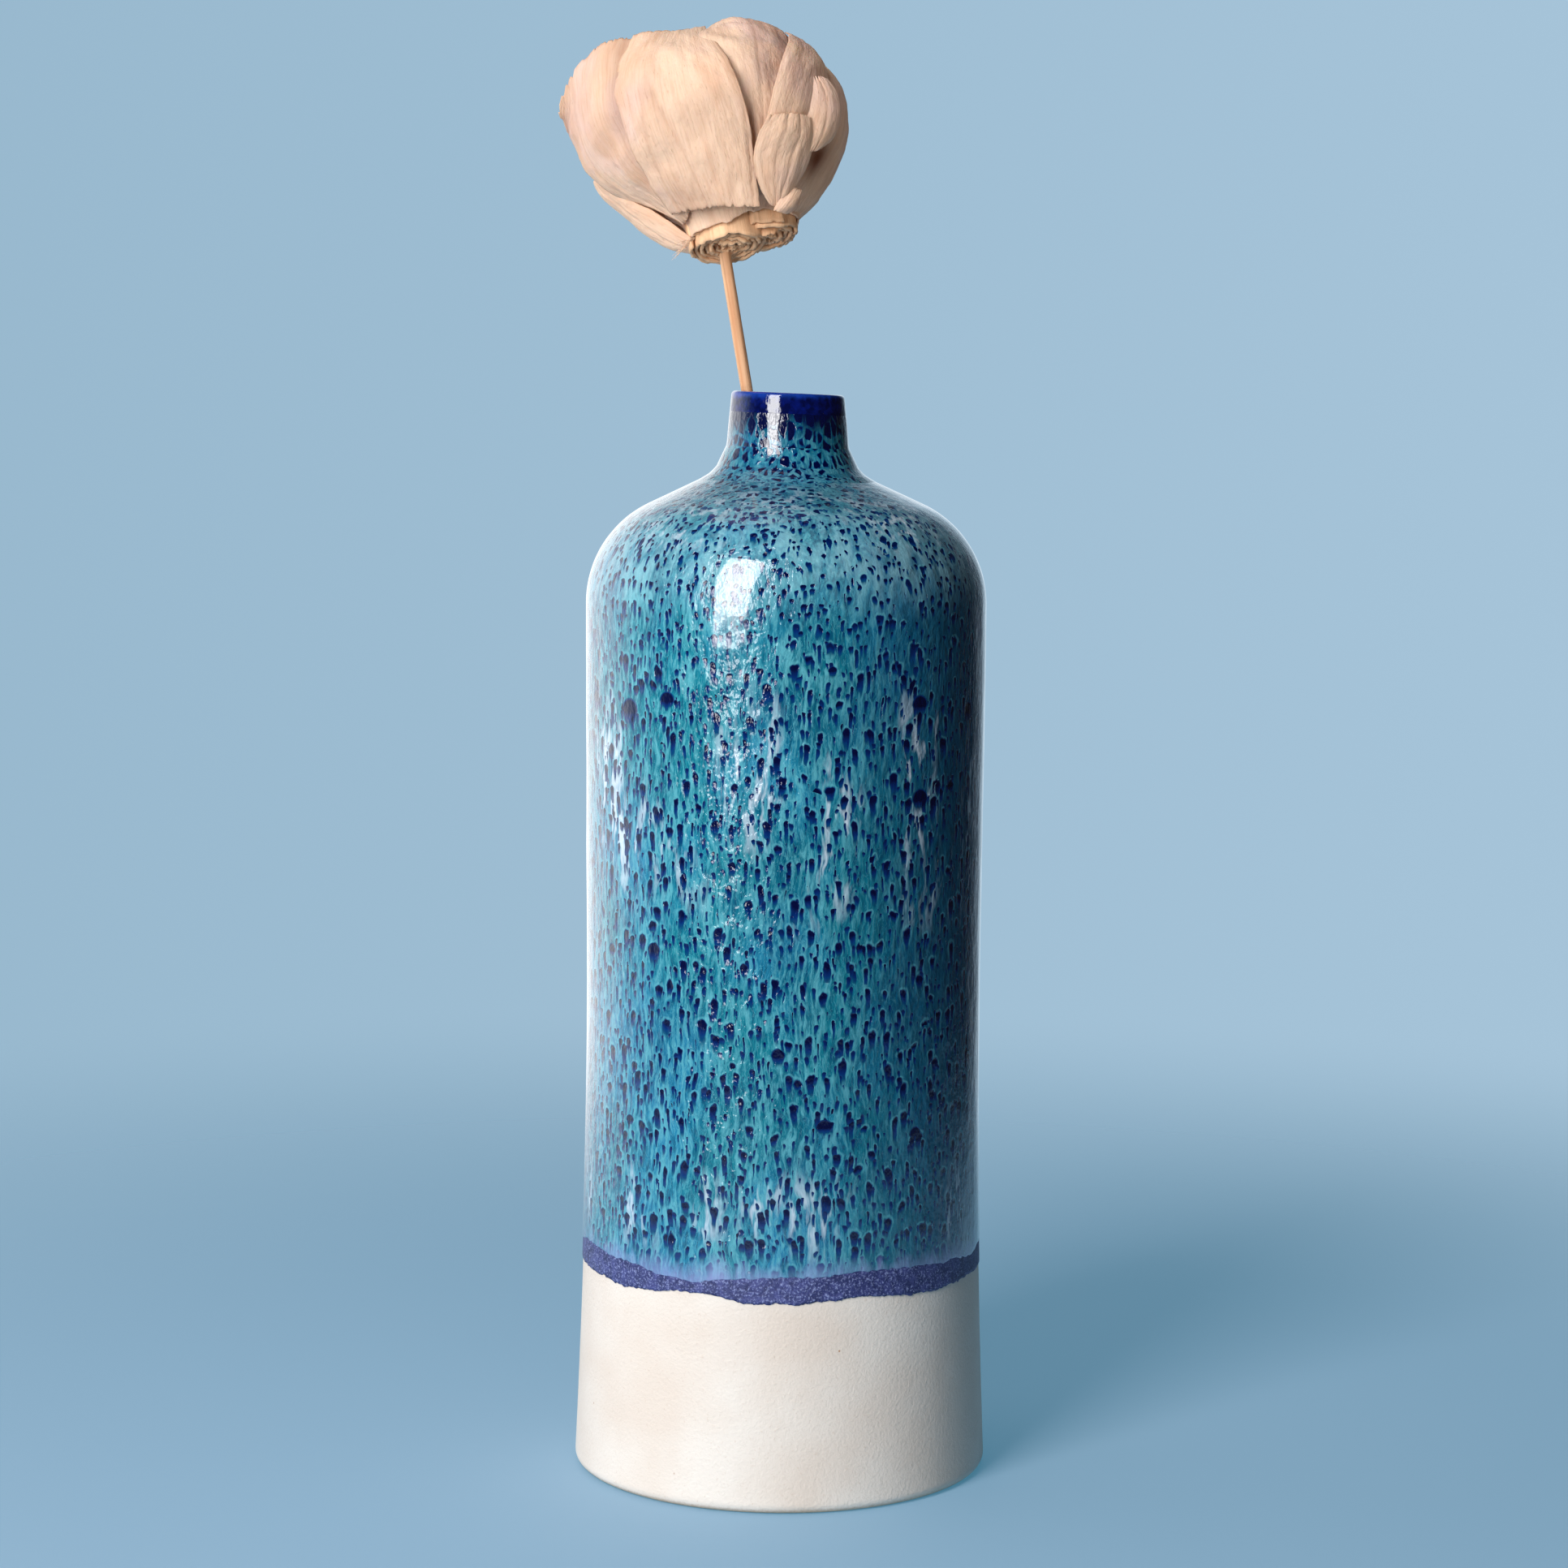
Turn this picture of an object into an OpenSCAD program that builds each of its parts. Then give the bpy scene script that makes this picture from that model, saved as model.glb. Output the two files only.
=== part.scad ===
// Ceramic bud vase with a dried shaved-wood flower on a bamboo stick.
// Origin: centre of the foot, on the table. +Z up, -Y is the front.

/* [Vase] */
// Height of the vase, from the table to the top of the lip
vase_h = 200; // [192:1:212]
// Radius of the clay at its widest, just above the foot
base_r = 38.6; // [37.5:0.1:40]
// Radius of the clay at the slight waist
waist_r = 36.4; // [35.5:0.1:37]
// Height of the waist
waist_z = 86; // [70:1:100]
// Radius of the clay where the shoulder begins
body_r = 36.7; // [36:0.1:38]
// Thickness of the thrown wall
wall_t = 4; // [3:0.5:4.5]
// Thickness of the floor
floor_t = 7; // [5:0.5:9]
// Radius of the rounded edge of the foot
foot_round = 1.8; // [1:0.1:3]
// Radius of the rounded corner inside, between floor and wall
corner_round = 3; // [2:0.5:4]

/* [Neck and shoulder] */
// Height at which the wall turns into the shoulder
shoulder_z = 161.4; // [156:0.1:163]
// Radius of the rounded shoulder
shoulder_round = 20; // [17:0.5:21]
// Slope of the shoulder, in degrees from upright
shoulder_slope = 65; // [60:1:68]
// Radius of the clay at the foot of the neck
neck_r = 10.85; // [10.5:0.05:12]
// Radius of the clay at the top of the neck
neck_top_r = 10.15; // [10:0.05:10.4]
// Radius of the hollow blend from the shoulder into the neck
neck_round = 9; // [7:0.5:10]
// Radius of the clay inside the mouth
mouth_r = 9.05; // [9:0.05:9.2]

/* [Glaze] */
// Thickness of every coat of glaze
glaze_t = 0.25; // [0.15:0.05:0.3]
// Height of the lower edge of the violet band
band_low_z = 38.4; // [34:0.1:40]
// Height of the upper edge of the violet band
band_high_z = 41.8; // [40.5:0.1:50]
// Depth of the deep blue rim, measured down from the lip
rim_depth = 4; // [2:0.5:7]
// How far the rim glaze runs down inside the mouth
mouth_depth = 6; // [3:0.5:9]

/* [Stick] */
// Diameter of the bamboo stick
stick_d = 2.2; // [1.8:0.1:2.3]
// Lean of the stick from upright, in degrees, towards the left
stick_lean = 9.7; // [8:0.1:10.5]
// Distance of the stick's line from the middle of the mouth, to the left
stick_offset = 7.5; // [7:0.1:7.5]
// Gap between the stick's lower end and the glazed floor
stick_gap = 0.3; // [0.3:0.1:2]
// Height at which the stick enters the flower
entry_z = 225.6; // [220:0.1:240]
// Depth of the stick inside the flower
stick_depth = 14; // [10:1:16]
// Radial clearance of the stick in the flower
stick_clearance = 0.05; // [0.02:0.01:0.1]

/* [Flower] */
// Height of the flower head along its own axis
head_h = 44; // [40:1:48]
// Radius of the head's rolled root
root_r = 9; // [8:0.5:10]
// How far the head swells beyond its root
head_swell = 18.5; // [17:0.5:20]
// Tilt of the head away from the front, in degrees
head_tilt = 22; // [18:1:24]
// Lean of the head to the left, in degrees
head_lean = 10; // [8:1:13]
// Thickness of a petal
petal_t = 0.5; // [0.4:0.05:0.6]
// Distance between one layer of petals and the next
layer_gap = 1; // [0.9:0.05:1.2]

/* [Hidden] */
$fn = 96;

// Steps of the sampled outlines: along the wall, round the shoulder, and in small round edges
wall_step = 6;
shoulder_step = 0.8;
edge_steps = 6;
// How much faster than a straight taper the foot flares
flare_power = 1.8;

lip_round = (neck_top_r - mouth_r) / 2;
lip_r = mouth_r + lip_round;
lip_z = vase_h - glaze_t - lip_round;
shoulder_cx = body_r - shoulder_round;
rim_z = vase_h - rim_depth;
mouth_z = vase_h - mouth_depth;
inner_wall_z = floor_t + corner_round + 1;

// A form is [inset from the clay's outer wall, shoulder radius, neck radius, top radius, neck blend]
outer_form = [0, shoulder_round, neck_r, neck_top_r, neck_round];
inner_form = [wall_t, shoulder_round - wall_t, mouth_r, mouth_r, neck_r + neck_round - mouth_r];

stick_bottom_z = floor_t + glaze_t + stick_gap + stick_d / 2 * sin(stick_lean);
stick_low = [stick_x(stick_bottom_z), 0, stick_bottom_z];
entry = [stick_x(entry_z), 0, entry_z];

// Where the stick enters the cut end of the rolled root, in the head's own frame
entry_in_head = [-4, 2.5, 0];
root_lobe_r = 6.3;
root_lobe_x = 2.8;
root_h = 8;
// The right lobe is cut a little deeper than the left one, and stands further back
root_step = 0.5;
root_offset = 0.8;
core_outline = [[7.4, root_h], [7.4, 22], [5.6, 30], [2.4, 36]];

// The head swells late: the power shifts its widest ring towards the tip
swell_power = 1.3;
// A petal reaches its full width here, and starts to round off there, as shares of its length
full_width_at = 0.4;
round_off_at = 0.6;
// Width of a petal's very tip, as a share of its full width
tip_share = 0.12;
// A lifted edge stands out most where this many degrees of sine reach 90
lift_sweep = 150;

// ---------- outlines of the vase ----------

// Radius of the clay's outer wall below the shoulder
function wall_r(z) =
    z < waist_z
    ? waist_r + (base_r - waist_r) * pow((waist_z - z) / waist_z, flare_power)
    : waist_r + (body_r - waist_r) * (1 - cos(180 * (z - waist_z) / (shoulder_z - waist_z))) / 2;

// Height at which the neck blend of a form starts
function neck_z(form) =
    let (
        arc_z = shoulder_z + form[1] * sin(shoulder_slope),
        arc_r = shoulder_cx + form[1] * cos(shoulder_slope),
        end_r = form[2] + form[4] * (1 - cos(shoulder_slope))
    )
    arc_z + (arc_r - end_r) / tan(shoulder_slope) + form[4] * sin(shoulder_slope);

// Radius of a form at height z, moved outwards by coat
function form_r(z, form, coat) =
    let (
        arc = form[1] + coat,
        blend = form[4] - coat,
        start = neck_z(form),
        arc_z = shoulder_z + arc * sin(shoulder_slope),
        blend_z = start - blend * sin(shoulder_slope)
    )
    z <= shoulder_z ? wall_r(z) - form[0] + coat
    : z <= arc_z ? shoulder_cx + sqrt(arc * arc - pow(z - shoulder_z, 2))
    : z <= blend_z ? shoulder_cx + arc * cos(shoulder_slope) - (z - arc_z) * tan(shoulder_slope)
    : z <= start ? form[2] + form[4] - sqrt(blend * blend - pow(start - z, 2))
    : form[2] + coat - (form[2] - form[3]) * (z - start) / (lip_z - start);

// Points of a form from height a up to height b. The lip adds its own last point
function side(a, b, form, coat) =
    let (
        low = min(b, shoulder_z),
        wall_n = a < low ? ceil((low - a) / wall_step) : 0,
        high = max(a, shoulder_z),
        top_n = high < b ? ceil((b - high) / shoulder_step) : 0,
        wall = [for (i = [0:1:wall_n - 1]) a + (low - a) * i / wall_n],
        top = [for (i = [0:1:top_n - 1]) high + (b - high) * i / top_n]
    )
    [for (z = concat(wall, top, b < lip_z ? [b] : [])) [form_r(z, form, coat), z]];

function arc_points(x, z, r, from, to) =
    [for (i = [0:edge_steps]) let (a = from + (to - from) * i / edge_steps) [x + r * cos(a), z + r * sin(a)]];

function lip(coat) = arc_points(lip_r, lip_z, lip_round + coat, 0, 180);

function inside_corner(coat) =
    let (z = floor_t + corner_round)
    arc_points(form_r(z, inner_form, 0) - corner_round, z, corner_round - coat, -90, 0);

function backwards(points) = [for (i = [len(points) - 1:-1:0]) points[i]];

// A coat on one side of a form between two heights
module coat(a, b, form, thickness) {
    rotate_extrude()
        polygon(concat(side(a, b, form, 0), backwards(side(a, b, form, thickness))));
}

// ---------- the vase ----------

module vase_body() {
    color([0.9, 0.86, 0.79])
        rotate_extrude()
            polygon(concat(
                [[0, 0]],
                arc_points(wall_r(foot_round) - foot_round, foot_round, foot_round, -90, 0),
                side(foot_round + 1, band_low_z, outer_form, 0),
                side(band_low_z, band_high_z, outer_form, 0),
                side(band_high_z, rim_z, outer_form, 0),
                side(rim_z, lip_z, outer_form, 0),
                lip(0),
                backwards(side(mouth_z, lip_z, inner_form, 0)),
                backwards(side(inner_wall_z, mouth_z, inner_form, 0)),
                backwards(inside_corner(0)),
                [[0, floor_t]]
            ));
}

module liner_glaze() {
    color([0.16, 0.42, 0.55])
        rotate_extrude()
            polygon(concat(
                [[0, floor_t]],
                inside_corner(0),
                side(inner_wall_z, mouth_z, inner_form, 0),
                backwards(side(inner_wall_z, mouth_z, inner_form, -glaze_t)),
                backwards(inside_corner(glaze_t)),
                [[0, floor_t + glaze_t]]
            ));
}

module outer_glaze() {
    color([0.12, 0.50, 0.60])
        coat(band_high_z, rim_z, outer_form, glaze_t);
}

module rim_glaze() {
    color([0.05, 0.10, 0.42])
        rotate_extrude()
            polygon(concat(
                side(rim_z, lip_z, outer_form, glaze_t),
                lip(glaze_t),
                backwards(side(mouth_z, lip_z, inner_form, -glaze_t)),
                side(mouth_z, lip_z, inner_form, 0),
                backwards(lip(0)),
                backwards(side(rim_z, lip_z, outer_form, 0))
            ));
}

module violet_band() {
    color([0.27, 0.27, 0.58])
        coat(band_low_z, band_high_z, outer_form, glaze_t);
}

// ---------- the stick ----------

// How far to the right the stick's line is at height z
function stick_x(z) = -stick_offset - (z - vase_h) * tan(stick_lean);

// A round bar on the stick's own line, from its lower end
module on_stick_line() {
    translate(stick_low) rotate([0, -stick_lean, 0]) children();
}

module bamboo_stick() {
    length = norm(entry - stick_low) + stick_depth;
    color([0.87, 0.70, 0.52])
        on_stick_line() cylinder(d = stick_d, h = length);
}

module stick_bore() {
    length = norm(entry - stick_low);
    margin = 6;
    on_stick_line()
        translate([0, 0, length - margin])
            cylinder(r = stick_d / 2 + stick_clearance, h = margin + stick_depth + stick_clearance);
}

// ---------- the flower ----------

// Puts children from the head's own frame, origin at the cut end, axis +Z, into place
module on_head() {
    translate(entry)
        rotate([-head_tilt, -head_lean, 0])
            translate(-entry_in_head)
                children();
}

// Radius of the head at height h along its axis
function head_r(h) =
    let (t = h / head_h)
    root_r * (1 - t) + head_swell * sin(180 * pow(t, swell_power));

// How far outwards a petal's side edges stand at u, v: lift is [left edge, right edge]
function edge_lift(u, v, lift) = (u < 0 ? lift[0] : lift[1]) * u * u * sin(lift_sweep * v);

// Share of its full width that a petal has at v, from 0 at its root to 1 at its tip
function petal_share(v, root) =
    let (
        rise = root + (1 - root) * sin(90 * min(1, v / full_width_at)),
        fall = v < round_off_at ? 0 : (v - round_off_at) / (1 - round_off_at)
    )
    max(tip_share, rise * sqrt(cos(90 * fall)));

// A point on a petal: u runs from -1 to 1 across it, and side is -1 inside, 1 outside. turn is the
// petal's direction round the head, half its half width in degrees, low and high its two ends along
// the head's axis, and level the layer that it lies in
function petal_point(u, v, side, turn, half, low, high, level, lift, flare, root) =
    let (
        h = low + (high - low) * v,
        slope = (head_r(h + 0.1) - head_r(h - 0.1)) / 0.2,
        out = level * layer_gap + side * petal_t / 2 + edge_lift(u, v, lift),
        r = head_r(h) + (out + flare * v * v) / norm([1, slope]),
        z = h - slope * out / norm([1, slope]),
        a = turn + half * petal_share(v, root) * u
    )
    [r * cos(a), r * sin(a), z];

// A curved sheet closed round its edge: nu by nv cells, outer face first
module petal(turn, half, low, high, level, lift = [0, 0], flare = 0, root = 0.45, nu = 6, nv = 8) {
    points = [
        for (side = [1, -1], j = [0:nv], i = [0:nu])
            petal_point(2 * i / nu - 1, j / nv, side, turn, half, low, high, level, lift, flare, root)
    ];
    row = nu + 1;
    back = row * (nv + 1);
    outer = [
        for (j = [0:nv - 1], i = [0:nu - 1])
            let (a = j * row + i)
            each [[a, a + row, a + 1], [a + 1, a + row, a + row + 1]]
    ];
    inner = [for (f = outer) [f[0] + back, f[2] + back, f[1] + back]];
    border = concat(
        [for (i = [0:nu]) i],
        [for (j = [1:nv]) j * row + nu],
        [for (i = [nu - 1:-1:0]) nv * row + i],
        [for (j = [nv - 1:-1:1]) j * row]
    );
    edge = [
        for (k = [0:len(border) - 1])
            let (a = border[k], b = border[(k + 1) % len(border)])
            each [[a, b, a + back], [b, b + back, a + back]]
    ];
    on_head() polyhedron(points, concat(outer, inner, edge));
}

petal_colour = [0.88, 0.73, 0.61];
shade_colour = [0.80, 0.63, 0.50];

module root_lobe(x, y, low, high) {
    translate([x, y, low]) cylinder(r = root_lobe_r, h = high - low);
}

module root_roll_left() {
    color([0.70, 0.58, 0.48])
        difference() {
            on_head() root_lobe(-root_lobe_x, 0, 0, root_h);
            stick_bore();
        }
}

module root_roll_right() {
    color([0.72, 0.60, 0.50])
        on_head()
            difference() {
                root_lobe(root_lobe_x, root_offset, root_step, root_h);
                root_lobe(-root_lobe_x, 0, 0, root_h + 1);
            }
}

module bud_core() {
    color(shade_colour)
        difference() {
            on_head()
                rotate_extrude()
                    polygon(concat([[0, root_h]], core_outline, [[0, core_outline[3][1]]]));
            stick_bore();
        }
}

module inner_petal_front() {
    color(shade_colour)
        petal(turn = -90, half = 52, low = 10, high = 38, level = -4);
}

module inner_petal_right() {
    color(shade_colour)
        petal(turn = 30, half = 52, low = 10, high = 38, level = -4);
}

module inner_petal_left() {
    color(shade_colour)
        petal(turn = 150, half = 52, low = 10, high = 38, level = -4);
}

module front_petal() {
    color(petal_colour)
        petal(turn = -102, half = 28, low = 5, high = 38, level = 1, root = 0.85);
}

module wing_petal() {
    color(petal_colour)
        petal(turn = -150, half = 36, low = 6, high = 38, level = 0, lift = [8, 0]);
}

module second_petal() {
    color(petal_colour)
        petal(turn = -66, half = 28, low = 7.5, high = 43, level = -1);
}

module folded_petal() {
    color(petal_colour)
        petal(turn = -32, half = 26, low = 8, high = 41, level = -2);
}

module right_petal() {
    color(petal_colour)
        petal(turn = 6, half = 27, low = 4, high = 37, level = -1, root = 0.6);
}

module rear_petal_right() {
    color(petal_colour)
        petal(turn = 52, half = 34, low = 8, high = 40, level = -2);
}

module rear_petal_middle() {
    color(petal_colour)
        petal(turn = 106, half = 34, low = 7, high = 42, level = -1);
}

module rear_petal_left() {
    color(petal_colour)
        petal(turn = 158, half = 30, low = 8, high = 40, level = -2);
}

module lower_left_petal() {
    color(petal_colour)
        petal(turn = -172, half = 24, low = 3.2, high = 11.5, level = 1.2, flare = 10, nv = 5);
}

module lower_right_petal() {
    color(petal_colour)
        petal(turn = -58, half = 20, low = 4.5, high = 20, level = 0, root = 0.6, nu = 5, nv = 6);
}

module curled_petal() {
    color(petal_colour)
        petal(turn = -23, half = 16, low = 12, high = 29, level = 0, nu = 5, nv = 6);
}

module scale_petal() {
    color(petal_colour)
        petal(turn = -42, half = 10, low = 3.5, high = 9, level = 1, nu = 4, nv = 4);
}

vase_body();
liner_glaze();
outer_glaze();
rim_glaze();
violet_band();
bamboo_stick();
root_roll_left();
root_roll_right();
bud_core();
inner_petal_front();
inner_petal_right();
inner_petal_left();
front_petal();
wing_petal();
second_petal();
folded_petal();
right_petal();
rear_petal_right();
rear_petal_middle();
rear_petal_left();
lower_left_petal();
lower_right_petal();
curled_petal();
scale_petal();
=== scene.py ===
"""A stoneware bud vase with a reactive glaze, holding one shaved-wood flower on a bamboo stick."""
import logging
import math
from collections.abc import Sequence
from dataclasses import dataclass, field
from enum import Enum
from itertools import pairwise

import bmesh
import bpy
import numpy as np
from mathutils import Matrix, Vector, noise


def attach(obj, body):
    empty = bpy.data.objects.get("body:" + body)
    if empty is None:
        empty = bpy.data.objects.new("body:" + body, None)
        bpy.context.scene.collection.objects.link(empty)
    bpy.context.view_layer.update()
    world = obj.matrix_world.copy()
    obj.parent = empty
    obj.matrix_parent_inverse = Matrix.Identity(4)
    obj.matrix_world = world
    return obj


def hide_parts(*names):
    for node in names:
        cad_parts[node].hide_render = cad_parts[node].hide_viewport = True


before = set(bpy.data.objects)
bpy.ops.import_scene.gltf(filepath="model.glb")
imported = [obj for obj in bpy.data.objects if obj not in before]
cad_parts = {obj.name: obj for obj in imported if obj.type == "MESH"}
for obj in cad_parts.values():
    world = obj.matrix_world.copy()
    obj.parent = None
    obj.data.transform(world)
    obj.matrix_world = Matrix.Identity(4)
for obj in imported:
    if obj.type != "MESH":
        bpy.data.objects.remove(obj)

log = logging.getLogger("bud_vase")

MM = 0.001
Colour = tuple[float, float, float, float]
Point = tuple[float, float, float]
Tree = bpy.types.NodeTree
Material = bpy.types.Material
Piece = bpy.types.Object


class Body(Enum):
    """What a piece moves with."""

    VASE = "vase"
    STICK = "stick"
    FLOWER = "flower"


class Slot(Enum):
    """The kinds of material."""

    STONEWARE = "stoneware"
    TURQUOISE = "turquoise_glaze"
    VIOLET = "violet_glaze"
    COBALT = "cobalt_glaze"
    LINER = "liner_glaze"
    BAMBOO = "bamboo"
    ROOT = "wood_root"
    PETAL = "wood_petal"
    PETAL_SHADE = "wood_petal_shade"


def srgb(red: int, green: int, blue: int) -> Colour:
    """A colour given as 0 to 255 on a screen, made linear for a shader."""
    parts = [c / 255 for c in (red, green, blue)]
    linear = [c / 12.92 if c <= 0.04045 else ((c + 0.055) / 1.055) ** 2.4 for c in parts]
    return (*linear, 1.0)


# ---------- wiring nodes ----------


@dataclass(frozen=True, eq=False)
class Signal:
    """A node's output. Each sign of arithmetic on it adds one node."""

    board: "NodeBoard"
    socket: bpy.types.NodeSocket

    def __add__(self, other: "Feed") -> "Signal":
        """The sum."""
        return self.board.calculate("ADD", self, other)

    def __sub__(self, other: "Feed") -> "Signal":
        """The difference."""
        return self.board.calculate("SUBTRACT", self, other)

    def __rsub__(self, other: "Feed") -> "Signal":
        """The difference, the other way round."""
        return self.board.calculate("SUBTRACT", other, self)

    def __mul__(self, other: "Feed") -> "Signal":
        """The product."""
        return self.board.calculate("MULTIPLY", self, other)

    def __truediv__(self, other: "Feed") -> "Signal":
        """The quotient."""
        return self.board.calculate("DIVIDE", self, other)

    def __rtruediv__(self, other: "Feed") -> "Signal":
        """The quotient, the other way round."""
        return self.board.calculate("DIVIDE", other, self)


Feed = Signal | float | int | str | tuple | Material
Inputs = dict[int | str, Feed]


class NodeBoard:
    """Adds nodes to a shader or geometry tree and wires them."""

    def __init__(self, tree: Tree) -> None:
        """Works on tree."""
        self.tree = tree

    def feed(self, socket: bpy.types.NodeSocket, value: Feed) -> None:
        """Links value into socket, or sets it there if it is a constant."""
        if isinstance(value, Signal):
            self.tree.links.new(value.socket, socket)
        else:
            socket.default_value = value

    def add(self, kind: str, inputs: Inputs | None = None, **settings: object) -> dict[int | str, Signal]:
        """Adds a node.

        Args:
            kind: Blender's name of the node type.
            inputs: What goes into its sockets, by number or name.
            **settings: The node's own properties.

        Returns:
            Its outputs, by number and by name.
        """
        node = self.tree.nodes.new(kind)
        for name, value in settings.items():
            setattr(node, name, value)
        for key, value in (inputs or {}).items():
            self.feed(node.inputs[key], value)
        outputs: dict[int | str, Signal] = {}
        for number, socket in enumerate(node.outputs):
            outputs[number] = Signal(self, socket)
            outputs.setdefault(socket.name, outputs[number])
        return outputs

    def calculate(self, operation: str, first: Feed, second: Feed) -> Signal:
        """One step of arithmetic on numbers, on vectors, or on a vector and a number."""
        wide = [isinstance(v, tuple) or isinstance(v, Signal) and v.socket.type in ("VECTOR", "RGBA")
                for v in (first, second)]
        if all(wide):
            return self.vector(operation, first, second)
        if any(wide):
            return self.add("ShaderNodeVectorMath", {0: first, "Scale": second}, operation="SCALE")["Vector"]
        return self.math(operation, first, second)

    def math(self, operation: str, *values: Feed) -> Signal:
        """One Math node."""
        return self.add("ShaderNodeMath", dict(enumerate(values)), operation=operation)[0]

    def vector(self, operation: str, *values: Feed) -> Signal:
        """One Vector Math node: a number for lengths and dot products, otherwise a vector."""
        outputs = self.add("ShaderNodeVectorMath", dict(enumerate(values)), operation=operation)
        return outputs["Value" if operation in ("LENGTH", "DOT_PRODUCT") else "Vector"]

    def most(self, first: Feed, *others: Feed) -> Signal:
        """The largest of several numbers."""
        for other in others:
            first = self.math("MAXIMUM", first, other)
        return first

    def combine(self, x: Feed, y: Feed, z: Feed) -> Signal:
        """A vector made of three numbers."""
        return self.add("ShaderNodeCombineXYZ", {0: x, 1: y, 2: z})[0]

    def split(self, vector: Feed) -> list[Signal]:
        """The three numbers of a vector."""
        parts = self.add("ShaderNodeSeparateXYZ", {0: vector})
        return [parts[axis] for axis in range(3)]

    def span(self, value: Feed, low: Feed, high: Feed, start: Feed = 0.0, end: Feed = 1.0,
             smooth: bool = False) -> Signal:
        """Maps value from low..high to start..end and holds it there, easing in and out if smooth."""
        inputs = {"Value": value, "From Min": low, "From Max": high, "To Min": start, "To Max": end}
        kind = "SMOOTHSTEP" if smooth else "LINEAR"
        return self.add("ShaderNodeMapRange", inputs, interpolation_type=kind, clamp=True)[0]

    def noise(self, vector: Feed, scale: float = 1.0, detail: float = 2.0, rough: float = 0.5,
              colour: bool = False) -> Signal:
        """A noise texture, around 0.5.

        Args:
            vector: Where it is read.
            scale: Its scale.
            detail: Its octaves.
            rough: How strong the finer octaves are.
            colour: Gives the three-part output instead of the single one.

        Returns:
            The noise.
        """
        inputs = {"Vector": vector, "Scale": scale, "Detail": detail, "Roughness": rough}
        return self.add("ShaderNodeTexNoise", inputs)[1 if colour else 0]

    def cells(self, vector: Feed, jitter: float, **settings: str) -> dict[int | str, Signal]:
        """A Voronoi texture with cells of 1, and how far they stray from a grid."""
        return self.add("ShaderNodeTexVoronoi", {"Vector": vector, "Scale": 1.0, "Randomness": jitter}, **settings)

    def mix(self, factor: Feed, first: Feed, second: Feed, blend: str = "MIX") -> Signal:
        """Mixes two colours: 0 gives the first, 1 the second."""
        return self.add("ShaderNodeMix", {0: factor, 6: first, 7: second}, data_type="RGBA", blend_type=blend,
                        clamp_factor=True)[2]

    def layers(self, colour: Feed, *layers: tuple[Feed, Feed]) -> Signal:
        """Colours laid over a first one, each with its own share."""
        for share, other in layers:
            colour = self.mix(share, colour, other)
        return colour

    def ramp(self, factor: Feed, stops: Sequence[tuple[float, Colour]]) -> Signal:
        """A colour ramp with a colour at each stop."""
        node = self.tree.nodes.new("ShaderNodeValToRGB")
        band = node.color_ramp.elements
        while len(band) < len(stops):
            band.new(0.5)
        for element, (place, colour) in zip(band, stops):
            element.position = place
            element.color = colour
        self.feed(node.inputs[0], factor)
        return Signal(self, node.outputs[0])

    def group(self, tree: Tree, **inputs: Feed) -> dict[int | str, Signal]:
        """Places a shader node group and feeds its inputs."""
        return self.add("ShaderNodeGroup", inputs, node_tree=tree)


class GroupMaker(NodeBoard):
    """Makes a node tree with named inputs and outputs."""

    def __init__(self, name: str, kind: str, inputs: dict[str, object], outputs: dict[str, str]) -> None:
        """Starts the tree.

        Args:
            name: The tree's name.
            kind: The tree's type.
            inputs: Default of each input, or its socket type if it has no default.
            outputs: Socket type of each output.
        """
        super().__init__(bpy.data.node_groups.new(name, kind))
        face = self.tree.interface
        self.sockets = {}
        for label, default in inputs.items():
            form = default if isinstance(default, str) else "Int" if isinstance(default, int) else "Float"
            socket = face.new_socket(label, in_out="INPUT", socket_type="NodeSocket" + form)
            if form != default:
                socket.default_value = default
            self.sockets[label] = socket.identifier
        for label, form in outputs.items():
            face.new_socket(label, in_out="OUTPUT", socket_type="NodeSocket" + form)
        self.ins = self.add("NodeGroupInput")

    def finish(self, **outputs: Feed) -> Tree:
        """Feeds the outputs and returns the tree."""
        self.add("NodeGroupOutput", outputs)
        return self.tree


HALF = (0.5, 0.5, 0.5)


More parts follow.
